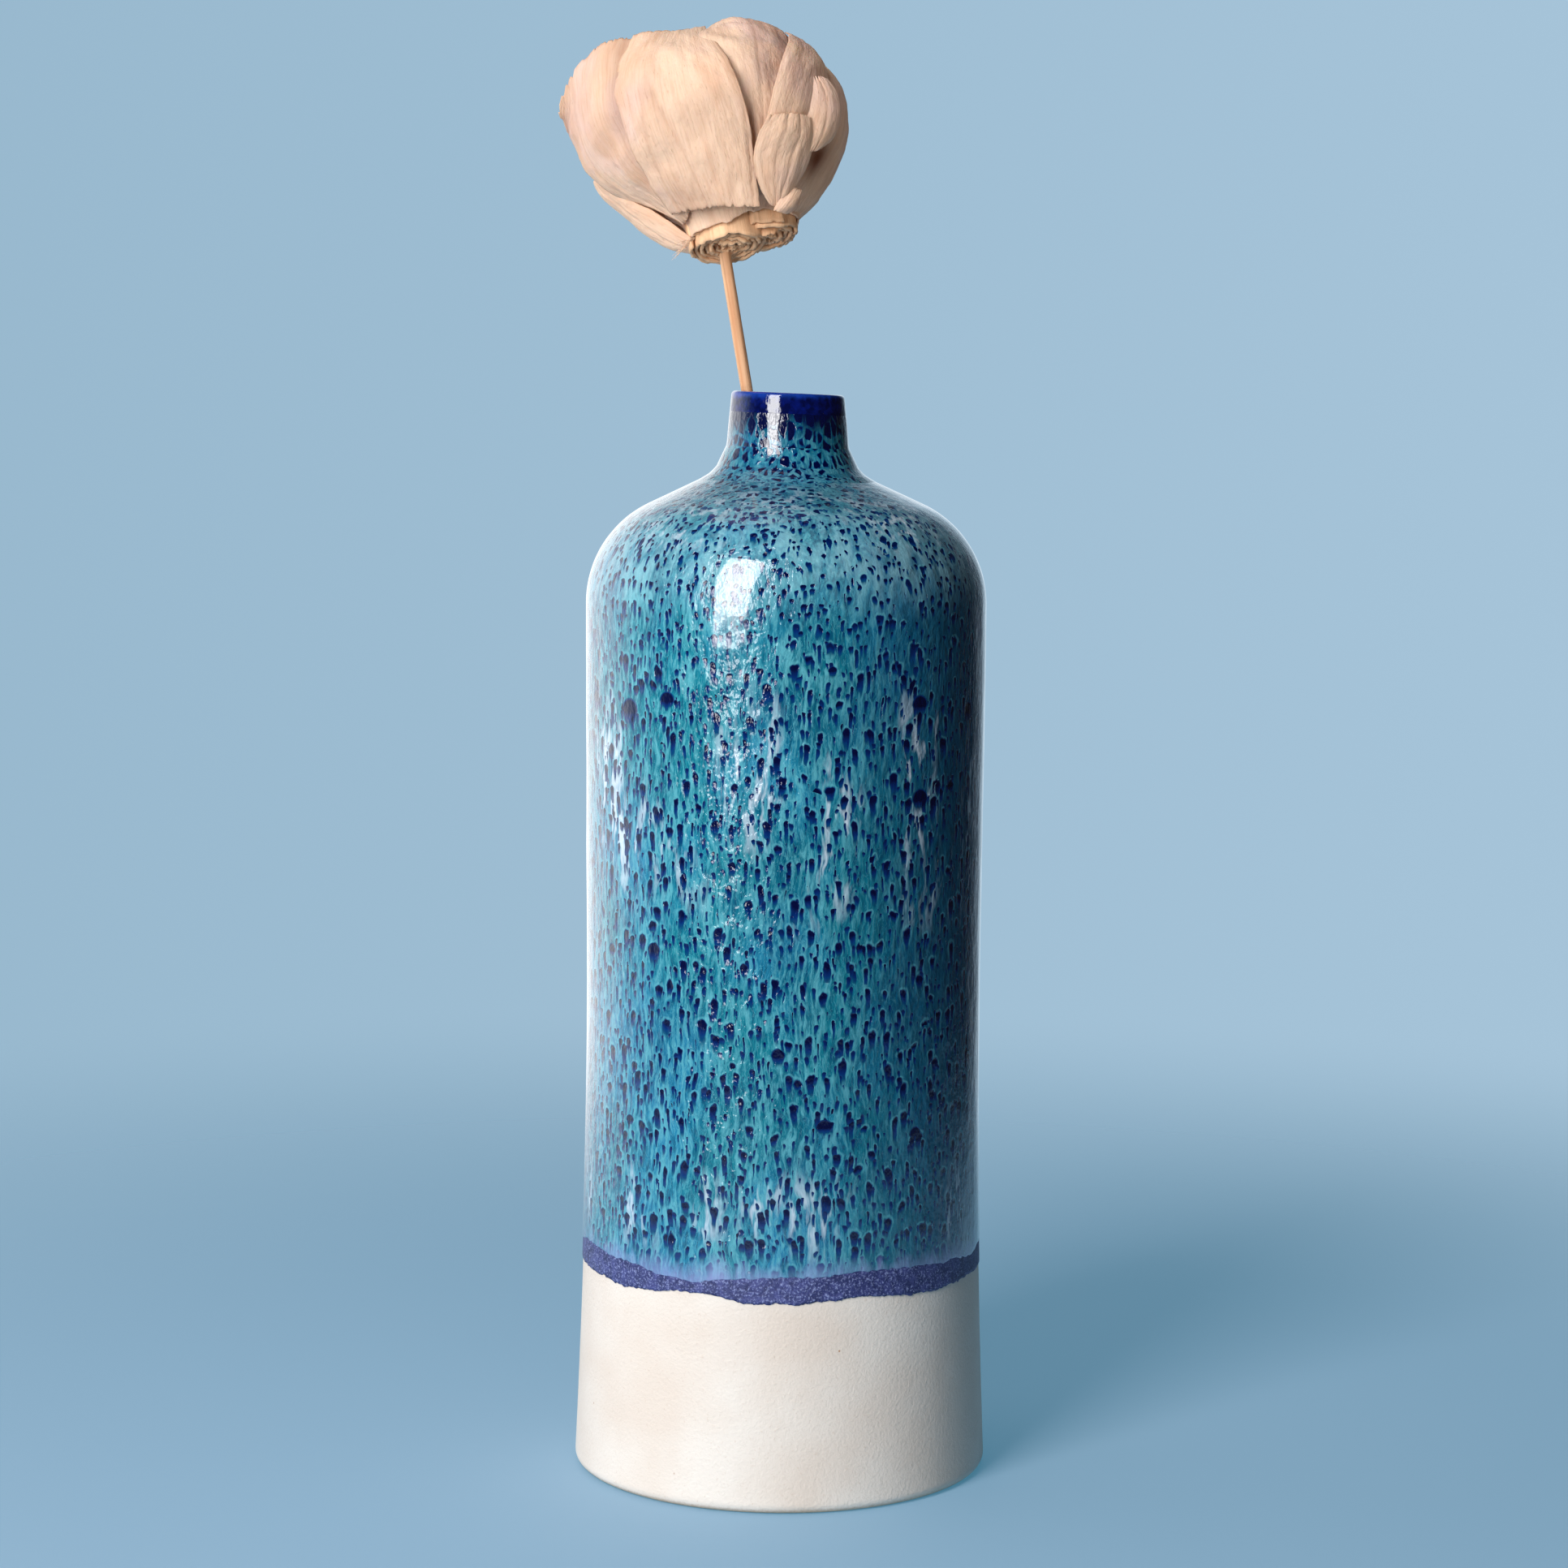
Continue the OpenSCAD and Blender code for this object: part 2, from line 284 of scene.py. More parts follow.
def flow_spots() -> Tree:
    """Teardrop spots that hang down a round wall: a crisp round head on top and a tail that fades downwards.

    Returns:
        The group. Its vector input is in millimetres, with the run along the wall as Z.
    """
    g = GroupMaker("flow_spots", "ShaderNodeTree", {
        "Vector": "Vector", "Width": 2.4, "Height": 4.4, "Size": 0.6, "Tail": 3.2, "Shift": 0.0,
    }, {"Mask": "Float", "Random": "Float", "Arch": "Float"})
    vector, width, height, size, length, shift = (
        g.ins[label] for label in ("Vector", "Width", "Height", "Size", "Tail", "Shift"))
    cell = g.combine(width, width, height)
    moved = vector / cell + g.combine(shift, 0.0, shift)
    cells = g.cells(moved, 0.9)
    away = (moved - cells["Position"]) * cell
    out_x, out_y, _ = g.split(vector)
    outward = g.vector("NORMALIZE", g.combine(out_x, out_y, 0.0))
    around = g.vector("CROSS_PRODUCT", outward, (0.0, 0.0, 1.0))
    across = g.math("ABSOLUTE", g.vector("DOT_PRODUCT", away, around))
    depth = g.math("ABSOLUTE", g.vector("DOT_PRODUCT", away, outward))
    _, _, up = g.split(away)
    rand_a, rand_b, rand_c = g.split(cells["Color"])
    present = g.span(depth / width, 0.62, 0.3)
    half = g.most(size * g.span(rand_a, 0.0, 1.0, 0.45, 1.1) * present, 0.001)
    tail = length * g.span(rand_b, 0.0, 1.0, 0.3, 1.15)
    head_z = height * 0.12
    above, sunk = g.most(up - head_z, 0.0), g.most(head_z - up, 0.0) / tail
    side, top = across / (half * g.most(1.0 - sunk * 0.55, 0.12)), above / half
    reach = g.math("SQRT", side * side + top * top)
    fade = g.math("POWER", 1.0 - g.math("MINIMUM", sunk, 1.0), 1.2)
    ring = g.span(reach, 1.9, 1.35, smooth=True) * g.span(reach, 1.0, 1.3, smooth=True)
    return g.finish(Mask=g.span(reach, 1.12, 0.72, smooth=True) * fade, Random=rand_c,
                    Arch=ring * g.span(sunk, 0.9, 0.0))


def flow_streaks() -> Tree:
    """Fine lines and soft streaks that run down a wall and bend a little on their way.

    Returns:
        The group. Its vector input is in millimetres, with the run along the wall as Z.
    """
    g = GroupMaker("flow_streaks", "ShaderNodeTree", {
        "Vector": "Vector", "Width": 1.0, "Stretch": 8.0, "Bend": 1.0,
    }, {"Lines": "Float", "Streaks": "Float"})
    drift = g.noise(g.ins["Vector"] * (0.16, 0.16, 0.10), colour=True)
    bend = (drift - HALF) * (g.ins["Bend"] * 4.0)
    across = 1.0 / g.ins["Width"]
    squeezed = (g.ins["Vector"] + bend) * g.combine(across, across, across / g.ins["Stretch"])
    fine = g.noise(squeezed + (31.0, 17.0, 5.0), 1.3)
    return g.finish(Lines=g.span(g.math("ABSOLUTE", fine - 0.5), 0.035, 0.0, smooth=True),
                    Streaks=g.noise(squeezed, 1.0, 3.0, 0.55))


def wood_grain() -> Tree:
    """Grain of shaved or split wood, along V of a map in millimetres.

    Returns:
        The group: fine fibre, broad figure and dark flecks.
    """
    g = GroupMaker("wood_grain", "ShaderNodeTree", {
        "Vector": "Vector", "Pitch": 0.35, "Stretch": 26.0, "Waver": 0.6,
    }, {"Fibre": "Float", "Figure": "Float", "Fleck": "Float"})
    drift = g.noise(g.ins["Vector"] * (0.12, 0.07, 0.12), colour=True)
    waver = (drift - HALF) * (g.ins["Waver"] * 3.0)
    across = 1.0 / g.ins["Pitch"]
    squeezed = (g.ins["Vector"] + waver) * g.combine(across, across / g.ins["Stretch"], across)
    fleck = g.noise(squeezed * (0.55, 2.2, 0.55), rough=0.6)
    return g.finish(Fibre=g.noise(squeezed, 0.5, 4.0, 0.65), Figure=g.noise(squeezed * (0.12, 0.3, 0.12), 1.0, 3.0),
                    Fleck=g.span(fleck, 0.64, 0.76))


# ---------- finishes ----------


class FinishBoard(NodeBoard):
    """A material with its Principled shader and the vectors that its pattern reads."""

    def __init__(self, name: str, colour: Colour, roughness: float) -> None:
        """Starts the material with its colour in a plain view and the shader's roughness."""
        self.material = bpy.data.materials.new(name)
        self.material.use_nodes = True
        self.material.diffuse_color = colour
        super().__init__(self.material.node_tree)
        self.shader = self.tree.nodes["Principled BSDF"]
        self.shade({"Base Color": colour, "Roughness": roughness})

    def shade(self, inputs: Inputs) -> Material:
        """Feeds the shader's inputs and returns the material."""
        for label, value in inputs.items():
            self.feed(self.shader.inputs[label], value)
        return self.material

    def object_mm(self) -> Signal:
        """Place on the piece in millimetres."""
        return self.add("ShaderNodeTexCoord")["Object"] * 1000.0

    def attribute(self, name: str) -> Signal:
        """A vector attribute of the piece."""
        return self.add("ShaderNodeAttribute", attribute_name=name)["Vector"]

    def bump(self, height: Feed, distance: float, strength: float = 1.0) -> Signal:
        """A normal from a height of about 0 to 1; a height of 1 stands for distance, in metres."""
        return self.add("ShaderNodeBump", {"Distance": distance, "Strength": strength, "Height": height})[0]


@dataclass(frozen=True)
class ReactiveGlaze:
    """The glossy outer glaze: teal with navy teardrops, pale runs and lavender haze."""

    spots: Tree
    streaks: Tree
    roughness: float = 0.12
    light_teal: Colour = srgb(96, 176, 190)
    green_teal: Colour = srgb(16, 122, 140)
    sky: Colour = srgb(36, 128, 166)
    deep_teal: Colour = srgb(2, 74, 106)
    blue: Colour = srgb(1, 46, 112)
    navy: Colour = srgb(1, 8, 54)
    pale: Colour = srgb(196, 212, 226)
    milk: Colour = srgb(140, 184, 198)
    lavender: Colour = srgb(146, 152, 206)
    haze_z: float = 43.5
    shoulder_z: tuple[float, float] = (150.0, 168.0)
    milk_z: tuple[float, float, float, float] = (158.0, 170.0, 178.0, 190.0)
    neck_z: tuple[float, float] = (175.0, 182.0)
    navy_z: tuple[float, float] = (191.0, 196.0)
    relief: float = 0.00024

    def build(self, name: str) -> Material:
        """Makes the material: the ground, the pale runs, the drops, then the rim and the haze, with a painted shade
        over its right side.
        """
        b = FinishBoard(name, self.green_teal, self.roughness)
        flow = b.attribute("flow")
        _, _, height = b.split(b.object_mm())
        bent = self.bend(b, flow)
        right, _, _ = b.split(flow)
        neck = b.span(height, *self.neck_z, smooth=True)
        shoulder = b.span(height, *self.shoulder_z, smooth=True)
        wall = 1.0 - shoulder

        threads = b.group(self.streaks, Vector=bent, Width=0.62, Stretch=8.0, Bend=0.7)
        veil = b.group(self.streaks, Vector=bent, Width=2.6, Stretch=5.0, Bend=1.4)["Streaks"]
        hairs = b.group(self.streaks, Vector=bent + (40.0, 12.0, 7.0), Width=0.45, Stretch=9.0, Bend=1.2)
        broad = b.noise(flow * (0.055, 0.055, 0.032), 1.0, 3.0)
        cloud = b.noise((flow + (50.0, 9.0, 3.0)) * (0.07, 0.07, 0.035))
        milky = threads["Streaks"] * 0.6 + veil * 0.4
        start, full, thinning, end = self.milk_z
        milk = b.span(height, start, full, smooth=True) * b.span(height, end, thinning, smooth=True)
        milk = milk * b.span(veil, 0.36, 0.60, 0.25, 0.9)

        big = b.group(self.spots, Vector=flow, Width=11.0, Height=15.0, Size=2.3, Tail=3.6, Shift=7.3)
        large = b.group(self.spots, Vector=bent, Width=2.8, Height=4.8, Size=b.span(shoulder, 0.0, 1.0, 0.80, 0.70),
                        Tail=b.span(shoulder, 0.0, 1.0, 4.6, 2.5), Shift=0.0)
        small = b.group(self.spots, Vector=bent, Width=1.7, Height=2.9, Size=b.span(shoulder, 0.0, 1.0, 0.46, 0.50),
                        Tail=b.span(shoulder, 0.0, 1.0, 2.8, 1.7), Shift=3.1)
        drops = b.most(
            large["Mask"] * b.most(wall, 0.80),
            small["Mask"] * b.span(shoulder, 0.0, 1.0, 0.75, 1.0),
            big["Mask"] * b.span(big["Random"], 0.72, 0.76) * wall,
        )
        drops = drops * b.span(height, self.haze_z, self.haze_z + 5.0, 0.25, 1.0)
        dark = b.most(drops * b.span(neck, 0.0, 1.0, 1.0, 0.35), self.voids(b, bent, height))

        colour = b.layers(
            self.green_teal,
            (b.span(broad, 0.42, 0.62), self.sky),
            (b.span(cloud, 0.50, 0.68) * 0.6, self.deep_teal),
            (b.span(milky, 0.48, 0.60) * 0.75, self.light_teal),
            (b.span(milky, 0.48, 0.36) * 0.9, self.deep_teal),
            (threads["Lines"] * 0.35, self.deep_teal),
            (hairs["Lines"] * 0.45, self.light_teal),
            # painted shade: the glaze turns deep teal towards its right (+X) side, away from the key light
            (b.span(right, 2.0, 30.0, 0.0, 0.82, smooth=True), self.deep_teal),
            (milk * 0.55, self.milk),
            (self.pale_patches(b, height, flow), self.pale),
            (large["Arch"] * 0.45, self.light_teal),
            (neck * 0.35, self.deep_teal),
            (b.span(dark, 0.02, 0.36), self.deep_teal),
            (b.span(dark, 0.22, 0.58), self.blue),
            (b.span(dark, 0.50, 0.90), self.navy),
            (b.span(height + (veil - 0.5) * 9.0, *self.navy_z, smooth=True), self.navy),
            (b.span(height - veil * 8.0, 42.0, 36.5) * 0.85, self.lavender),
        )
        orange_peel = b.noise(flow * (0.32, 0.32, 0.22), 1.0, 3.0, 0.6)
        return b.shade({
            "Base Color": colour, "Normal": b.bump(orange_peel * 2.3 + milky * 0.55 - dark * 0.20, self.relief),
            "Roughness": b.span(milky, 0.3, 0.7, self.roughness * 0.6, self.roughness * 1.4),
            "Coat Weight": 1.0, "Coat Roughness": 0.05, "IOR": 1.52,
        })

    def bend(self, b: FinishBoard, flow: Signal) -> Signal:
        """The flow vector, bent softly and then shaken a little, so that no drop is regular."""
        out = flow
        for pitch, reach in (((0.20, 0.20, 0.11), (1.7, 1.7, 2.8)), ((1.0, 1.0, 0.6), (0.5, 0.5, 0.9))):
            out = out + (b.noise(flow * pitch, 1.0, 1.0, colour=True) - HALF) * reach
        return out

    def voids(self, b: FinishBoard, bent: Signal, height: Signal) -> Signal:
        """Share of dark on the neck: drops that grow upwards until only thin threads run between them."""
        moved = bent / (1.6, 1.6, 3.4)
        middle, rim = b.cells(moved, 0.85), b.cells(moved, 0.85, feature="DISTANCE_TO_EDGE")
        _, _, up = b.split(moved - middle["Position"])
        thread = b.span(height, 175.0, 196.0, 0.24, -0.02) + b.span(up, 0.05, -0.55) * 0.16
        solid = b.span(rim["Distance"], thread, thread + 0.13, smooth=True)
        return solid * b.span(height, 174.0, 180.0)

    def pale_patches(self, b: FinishBoard, height: Signal, flow: Signal) -> Signal:
        """Share of pale glaze, where it has broken to whitish runs: three loose belts of tapering streaks."""
        runs = b.group(self.streaks, Vector=flow, Width=2.0, Stretch=6.5, Bend=1.0)
        gather = b.noise(flow * (0.085, 0.085, 0.03), 1.0, 1.0)
        belts = []
        for middle, reach, keep, low in ((178.0, 7.0, 0.7, 0.40), (127.0, 24.0, 1.0, 0.48), (54.0, 9.0, 0.8, 0.46)):
            away = b.math("ABSOLUTE", height - middle)
            belts.append(b.span(away, reach, reach * 0.35, 0.0, keep) * b.span(gather, low, low + 0.10))
        return b.span(runs["Streaks"], 0.51, 0.62) * b.most(*belts)


@dataclass(frozen=True)
class CobaltRim:
    """The deep navy glaze of the lip, brighter blue where it thins over the edge."""

    roughness: float = 0.1
    navy: Colour = srgb(1, 8, 58)
    cobalt: Colour = srgb(4, 20, 98)
    edge: Colour = srgb(22, 62, 158)

    def build(self, name: str, lip_z: float) -> Material:
        """Makes the material; lip_z is the height of the lip in millimetres."""
        b = FinishBoard(name, self.navy, self.roughness)
        place = b.object_mm()
        _, _, height = b.split(place)
        mottle = b.noise(place, 0.9, 3.0)
        thin = b.span(height + mottle, lip_z - 0.9, lip_z + 0.45, smooth=True)
        colour = b.layers(self.navy, (b.span(mottle, 0.4, 0.7), self.cobalt), (thin * 0.75, self.edge))
        return b.shade({"Base Color": colour, "Normal": b.bump(b.noise(place, 0.6), 0.00015), "Coat Weight": 0.6,
                        "Coat Roughness": 0.04})


@dataclass(frozen=True)
class VioletBand:
    """The dry, grainy violet-blue edge where the glaze stops."""

    roughness: float = 0.55
    base: Colour = srgb(66, 72, 132)
    dark: Colour = srgb(38, 44, 96)
    grain: Colour = srgb(146, 156, 204)

    def build(self, name: str) -> Material:
        """Makes the material named name."""
        b = FinishBoard(name, self.base, self.roughness)
        place = b.object_mm()
        grains, clouds = b.noise(place, 2.3, 3.0, 0.7), b.noise(place, 0.5, 3.0)
        colour = b.layers(self.dark, (b.span(clouds, 0.38, 0.62), self.base),
                          (b.span(grains, 0.52, 0.64) * 0.8, self.grain), (b.span(grains, 0.42, 0.34), self.dark))
        return b.shade({"Base Color": colour, "Roughness": b.span(grains, 0.3, 0.7, 0.35, 0.65),
                        "Normal": b.bump(grains, 0.00022)})


@dataclass(frozen=True)
class BareStoneware:
    """Cream stoneware with rust specks and a toasted line at the foot."""

    roughness: float = 0.5
    cream: Colour = srgb(236, 225, 214)
    warm: Colour = srgb(228, 212, 198)
    rust: Colour = srgb(176, 124, 74)
    toast: Colour = srgb(190, 148, 100)

    def build(self, name: str) -> Material:
        """Makes the material named name."""
        b = FinishBoard(name, self.cream, self.roughness)
        place = b.object_mm()
        _, _, height = b.split(place)
        specks = b.add("ShaderNodeTexVoronoi", {"Scale": 0.16, "Vector": place})
        rare, size, _ = b.split(specks["Color"])
        reach = specks["Distance"] / b.span(size, 0.0, 1.0, 0.03, 0.07)
        dot = b.span(reach, 1.0, 0.6) * b.span(rare, 0.35, 0.45)
        dust = b.noise(place, 2.2)
        colour = b.layers(
            self.cream,
            (b.span(b.noise(place, 0.05, 3.0), 0.35, 0.65), self.warm),
            (dot * 0.75, self.rust),
            (b.span(dust, 0.62, 0.75) * 0.18, self.rust),
            (b.span(height + dust * 0.8, 1.5, 0.7) * 0.7, self.toast),
        )
        relief = b.noise(place, 1.4, 4.0, 0.6) + dust * 0.3
        return b.shade({"Base Color": colour, "Normal": b.bump(relief, 0.00012), "Specular IOR Level": 0.4})


@dataclass(frozen=True)
class ShavedWood:
    """Thin shaved wood with lengthwise grain, lilac tints, darker rims, and painted shade in its creases and where its
    tone asks for it.
    """

    grain: Tree
    pale: Colour = srgb(229, 196, 171)
    warm: Colour = srgb(210, 168, 140)
    lilac: Colour = srgb(214, 182, 178)
    brown: Colour = srgb(168, 118, 88)
    deep: Colour = srgb(120, 74, 46)
    pitch: float = 0.16
    see_through: float = 0.12
    roughness: float = 0.7
    cockle: float = 4.5

    def build(self, name: str) -> Material:
        """Makes the material named name, reading the piece's map of millimetres and its tone."""
        b = FinishBoard(name, self.pale, self.roughness)
        place = b.attribute("grain_mm")
        grain = b.group(self.grain, Vector=place, Pitch=self.pitch, Stretch=20.0, Waver=0.18)
        tint = b.noise(b.object_mm() * (0.09, 0.09, 0.06))
        blotch = b.noise(place * (0.16, 0.05, 0.16), 1.0, 3.0, 0.55)
        # tone: its first part multiplies in deep brown, painted shade on the petals; its second darkens the folds as
        # painted shade in the creases, and the rims and ragged ends
        shade, crease, _ = b.split(b.attribute("tone"))
        colour = b.layers(
            self.pale,
            (b.span(grain["Figure"], 0.30, 0.70, 0.0, 0.36), self.warm),
            (b.span(tint, 0.50, 0.66) * 0.5, self.lilac),
            (b.span(blotch, 0.50, 0.68) * 0.75, self.warm),
            (b.span(grain["Fibre"], 0.48, 0.72) * 0.28, self.brown),
            (grain["Fleck"] * 0.30, self.brown),
            (crease * 0.20, self.brown),
        )
        cockle = b.noise(place * (0.42, 0.24, 0.42), 1.0, 3.0, 0.6)
        relief = grain["Fibre"] + grain["Fleck"] * -0.5 + cockle * self.cockle
        return b.shade({
            "Base Color": b.mix(shade, colour, self.deep, "MULTIPLY"), "Normal": b.bump(relief, 0.00014, 0.7),
            "Specular IOR Level": 0.25, "Subsurface Weight": self.see_through,
            "Subsurface Radius": (1.0, 0.45, 0.22), "Subsurface Scale": 0.0012,
        })


@dataclass(frozen=True)
class SplitBamboo:
    """Peach bamboo with straight grain, browner along some fibres."""

    grain: Tree
    lean: float
    pale: Colour = srgb(228, 184, 146)
    warm: Colour = srgb(205, 150, 110)
    brown: Colour = srgb(150, 98, 64)
    roughness: float = 0.6

    def build(self, name: str) -> Material:
        """Makes the material named name; its grain follows the stick's lean."""
        b = FinishBoard(name, self.pale, self.roughness)
        x, y, z = b.split(b.object_mm())
        along = b.combine(x + z * math.tan(self.lean), z, y)
        grain = b.group(self.grain, Vector=along, Pitch=0.20, Stretch=60.0, Waver=0.05)
        colour = b.layers(self.pale, (b.span(grain["Figure"], 0.35, 0.65), self.warm),
                          (b.span(grain["Fibre"], 0.5, 0.75) * 0.7, self.brown))
        return b.shade({"Base Color": colour, "Normal": b.bump(grain["Fibre"], 0.00012, 0.8),
                        "Specular IOR Level": 0.3})


@dataclass(frozen=True)
class StudioFloor:
    """The pale blue paper floor, which thins away into the backdrop, with a faint glow of painted light that lifts the
    shadow cast on it.
    """

    colour: Colour = srgb(131, 145, 161)
    # glow: the floor's own faint emission, painted light that lightens its shadow towards pale blue
    glow: Colour = srgb(63, 113, 137)
    roughness: float = 0.75
    solid_to: float = 0.14
    gone_at: float = 0.52

    def build(self, name: str) -> Material:
        """Makes the material named name."""
        b = FinishBoard(name, self.colour, self.roughness)
        x, y, _ = b.split(b.add("ShaderNodeTexCoord")["Object"])
        reach = b.vector("LENGTH", b.combine(x, y, 0.0))
        return b.shade({"Alpha": b.span(reach, self.gone_at, self.solid_to, smooth=True),
                        "Specular IOR Level": 0.35, "Emission Color": self.glow, "Emission Strength": 1.0})


# ---------- the studio ----------


@dataclass(frozen=True)
class Softbox:
    """An oblong soft light that faces the vase, placed round it in degrees and metres."""

    name: str
    azimuth: float
    elevation: float
    distance: float
    width: float
    height: float
    power: float
    aim_z: float = 0.11
    colour: tuple[float, float, float] = (1.0, 1.0, 1.0)
    spread: float = 180.0
    glossy: bool = True
    middle_z: float = 0.11

    def hang(self) -> None:
        """Puts the light in the scene. Azimuth 0 is the camera's side, and negative is left."""
        lamp = bpy.data.lights.new(self.name, "AREA")
        lamp.shape, lamp.size, lamp.size_y, lamp.energy = "RECTANGLE", self.width, self.height, self.power
        lamp.color, lamp.spread = self.colour, math.radians(self.spread)
        around, up = math.radians(self.azimuth), math.radians(self.elevation)
        away = Vector((math.sin(around) * math.cos(up), -math.cos(around) * math.cos(up), math.sin(up)))
        holder = bpy.data.objects.new(self.name, lamp)
        holder.visible_glossy = self.glossy
        holder.location = Vector((0.0, 0.0, self.middle_z)) + away * self.distance
        holder.rotation_mode = "QUATERNION"
        aim = Vector((0.0, 0.0, self.aim_z)) - holder.location
        holder.rotation_quaternion = aim.to_track_quat("-Z", "Y")
        bpy.context.scene.collection.objects.link(holder)


PEACH = (1.0, 0.86, 0.72)
SOFTBOXES = (
    Softbox("key_softbox", -31.0, 25.5, 0.95, 0.34, 0.94, 11.9),
    Softbox("left_wall", -100.0, 10.0, 1.1, 0.9, 0.9, 2.4, glossy=False),
    Softbox("top_fill", -20.0, 80.0, 1.3, 0.9, 0.9, 3.2, glossy=False),
    Softbox("low_fill", -36.0, -9.0, 0.46, 0.16, 0.05, 0.022, 0.232, PEACH, 38.0, False),
    Softbox("right_fill", 62.0, 16.0, 0.40, 0.12, 0.08, 0.0075, 0.247, PEACH, 22.0, False),
)


@dataclass(frozen=True)
class Studio:
    """Floor, backdrop light, lamps and camera."""

    eye: Point = (-0.00015, -0.68575, 0.200)
    pitch_down: float = 6.017
    roll: float = 0.477
    lens: float = 85.2
    sensor: float = 36.0
    backdrop: Colour = srgb(170, 199, 220)
    backdrop_left: Colour = srgb(148, 181, 203)
    room: tuple[tuple[float, Colour], ...] = (
        (0.0, srgb(34, 29, 25)), (0.57, srgb(26, 24, 23)), (0.72, srgb(78, 92, 104)),
        (0.83, srgb(168, 190, 206)), (0.94, srgb(246, 248, 250)),
    )
    floor_reach: float = 1.7

    def build(self) -> None:
        """Makes everything that isn't part of the object."""
        self.camera()
        self.floor()
        self.backdrop_light()
        for softbox in SOFTBOXES:
            softbox.hang()
        bpy.context.scene.view_settings.view_transform = "Standard"
        bpy.context.scene.view_settings.look = "None"

    def camera(self) -> None:
        """The camera, looking slightly down and turned a touch."""
        data = bpy.data.cameras.new("camera")
        data.lens, data.sensor_width = self.lens, self.sensor
        data.clip_start, data.clip_end = 0.01, 20.0
        camera = bpy.data.objects.new("camera", data)
        bpy.context.scene.collection.objects.link(camera)
        turn = Matrix.Rotation(math.radians(90.0 - self.pitch_down), 4, "X")
        roll = Matrix.Rotation(math.radians(self.roll), 4, "Z")
        camera.matrix_world = Matrix.Translation(self.eye) @ turn @ roll
        bpy.context.scene.camera = camera

    def floor(self) -> None:
        """A round sheet of paper, wide enough to fade out before its edge."""
        mesh = bpy.data.meshes.new("floor")
        shape = bmesh.new()
        bmesh.ops.create_circle(shape, cap_ends=True, segments=96, radius=self.floor_reach)
        shape.to_mesh(mesh)
        shape.free()
        mesh.materials.append(StudioFloor().build("studio_floor"))
        floor = bpy.data.objects.new("floor", mesh)
        bpy.context.scene.collection.objects.link(floor)

    def backdrop_light(self) -> None:
        """Pale blue all round for the camera; for light and reflections a room that is darker in front."""
        world = bpy.data.worlds.new("studio")
        world.use_nodes = True
        bpy.context.scene.world = world
        b = NodeBoard(world.node_tree)
        right, ahead, up = b.split(b.add("ShaderNodeTexCoord")["Generated"])
        room = b.ramp(b.span(ahead - right * 0.75, -1.25, 1.25), self.room)
        room = room * b.span(up, 0.15, 0.75, 1.4, 0.25, smooth=True)
        paper = b.mix(b.span(right, -0.35, 0.35), self.backdrop_left, self.backdrop)
        seen = b.add("ShaderNodeLightPath")["Is Camera Ray"]
        b.feed(b.tree.nodes["Background"].inputs["Color"], b.mix(seen, room, paper))


# ---------- shaping ----------


def link_mesh(name: str, points: Sequence[Point], edges: Sequence[tuple], faces: Sequence[tuple]) -> Piece:
    """A new object in the scene with a mesh of these points, edges and faces."""
    mesh = bpy.data.meshes.new(name)
    mesh.from_pydata([tuple(p) for p in points], edges, faces)
    piece = bpy.data.objects.new(name, mesh)
    bpy.context.scene.collection.objects.link(piece)
    return piece


def face_outwards(mesh: bpy.types.Mesh, weld: float = 0.0) -> None:
    """Turns a closed mesh's faces outwards, after dropping faces smaller than weld, in metres."""
    shape = bmesh.new()
    shape.from_mesh(mesh)
    if weld:
        bmesh.ops.dissolve_degenerate(shape, edges=shape.edges, dist=weld)
    bmesh.ops.recalc_face_normals(shape, faces=shape.faces)
    shape.to_mesh(mesh)
    shape.free()


def hand_over(piece: Piece, body: Body, slot: Slot, *nodes: str) -> None:
    """Attaches a finished piece to its body and hides the imported parts of the nodes that it stands for."""
    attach(piece, body.value)
    if nodes:
        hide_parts(*nodes)
    log.info("%s: %d faces on %s", piece.name, len(piece.data.polygons), body.value)


class ShapeTree(GroupMaker):
    """A Geometry Nodes tree that turns points and edges into a closed piece."""

    NAME = "shape"
    INPUTS: dict[str, object] = {}

    def __init__(self) -> None:
        """Builds the tree, with a material as its last step."""
        super().__init__(self.NAME, "GeometryNodeTree", {"Geometry": "Geometry", **self.INPUTS, "Material": "Material"},
                         {"Geometry": "Geometry"})
        real = self.add("GeometryNodeRealizeInstances", {0: self.shape()})[0]
        dressed = self.add("GeometryNodeSetMaterial", {"Geometry": real, "Material": self.ins["Material"]})[0]
        self.finish(Geometry=dressed)

    def shape(self) -> Signal:
        """Wires the shape itself."""
        raise NotImplementedError

    def run(self, name: str, points: Sequence[Point], edges: Sequence[tuple[int, int]], material: Material,
            inputs: dict[str, float]) -> Piece:
        """Makes one piece.

        Args:
            name: The piece's name.
            points: Points in metres.
            edges: Which of them are joined.
            material: Its finish.
            inputs: Inputs of the tree.

        Returns:
            The piece, as a plain mesh with its faces outwards.
        """
        source = link_mesh(name + "_line", points, edges, [])
        step = source.modifiers.new(self.NAME, "NODES")
        step.node_group = self.tree
        for label, value in {"Material": material, **inputs}.items():
            step[self.sockets[label]] = value
        graph = bpy.context.evaluated_depsgraph_get()
        mesh = bpy.data.meshes.new_from_object(source.evaluated_get(graph))
        bpy.data.objects.remove(source)
        face_outwards(mesh, 1e-7)
        mesh.name = name
        piece = bpy.data.objects.new(name, mesh)
        bpy.context.scene.collection.objects.link(piece)
        return piece


# ---------- the vase ----------

Outline = list[tuple[float, float]]


@dataclass(frozen=True)
class BottleForm:
    """One skin of the bottle: how far inside the clay's wall it lies, and its shoulder and neck radii."""

    inset: float
    shoulder: float
    neck: float
    top: float
    blend: float


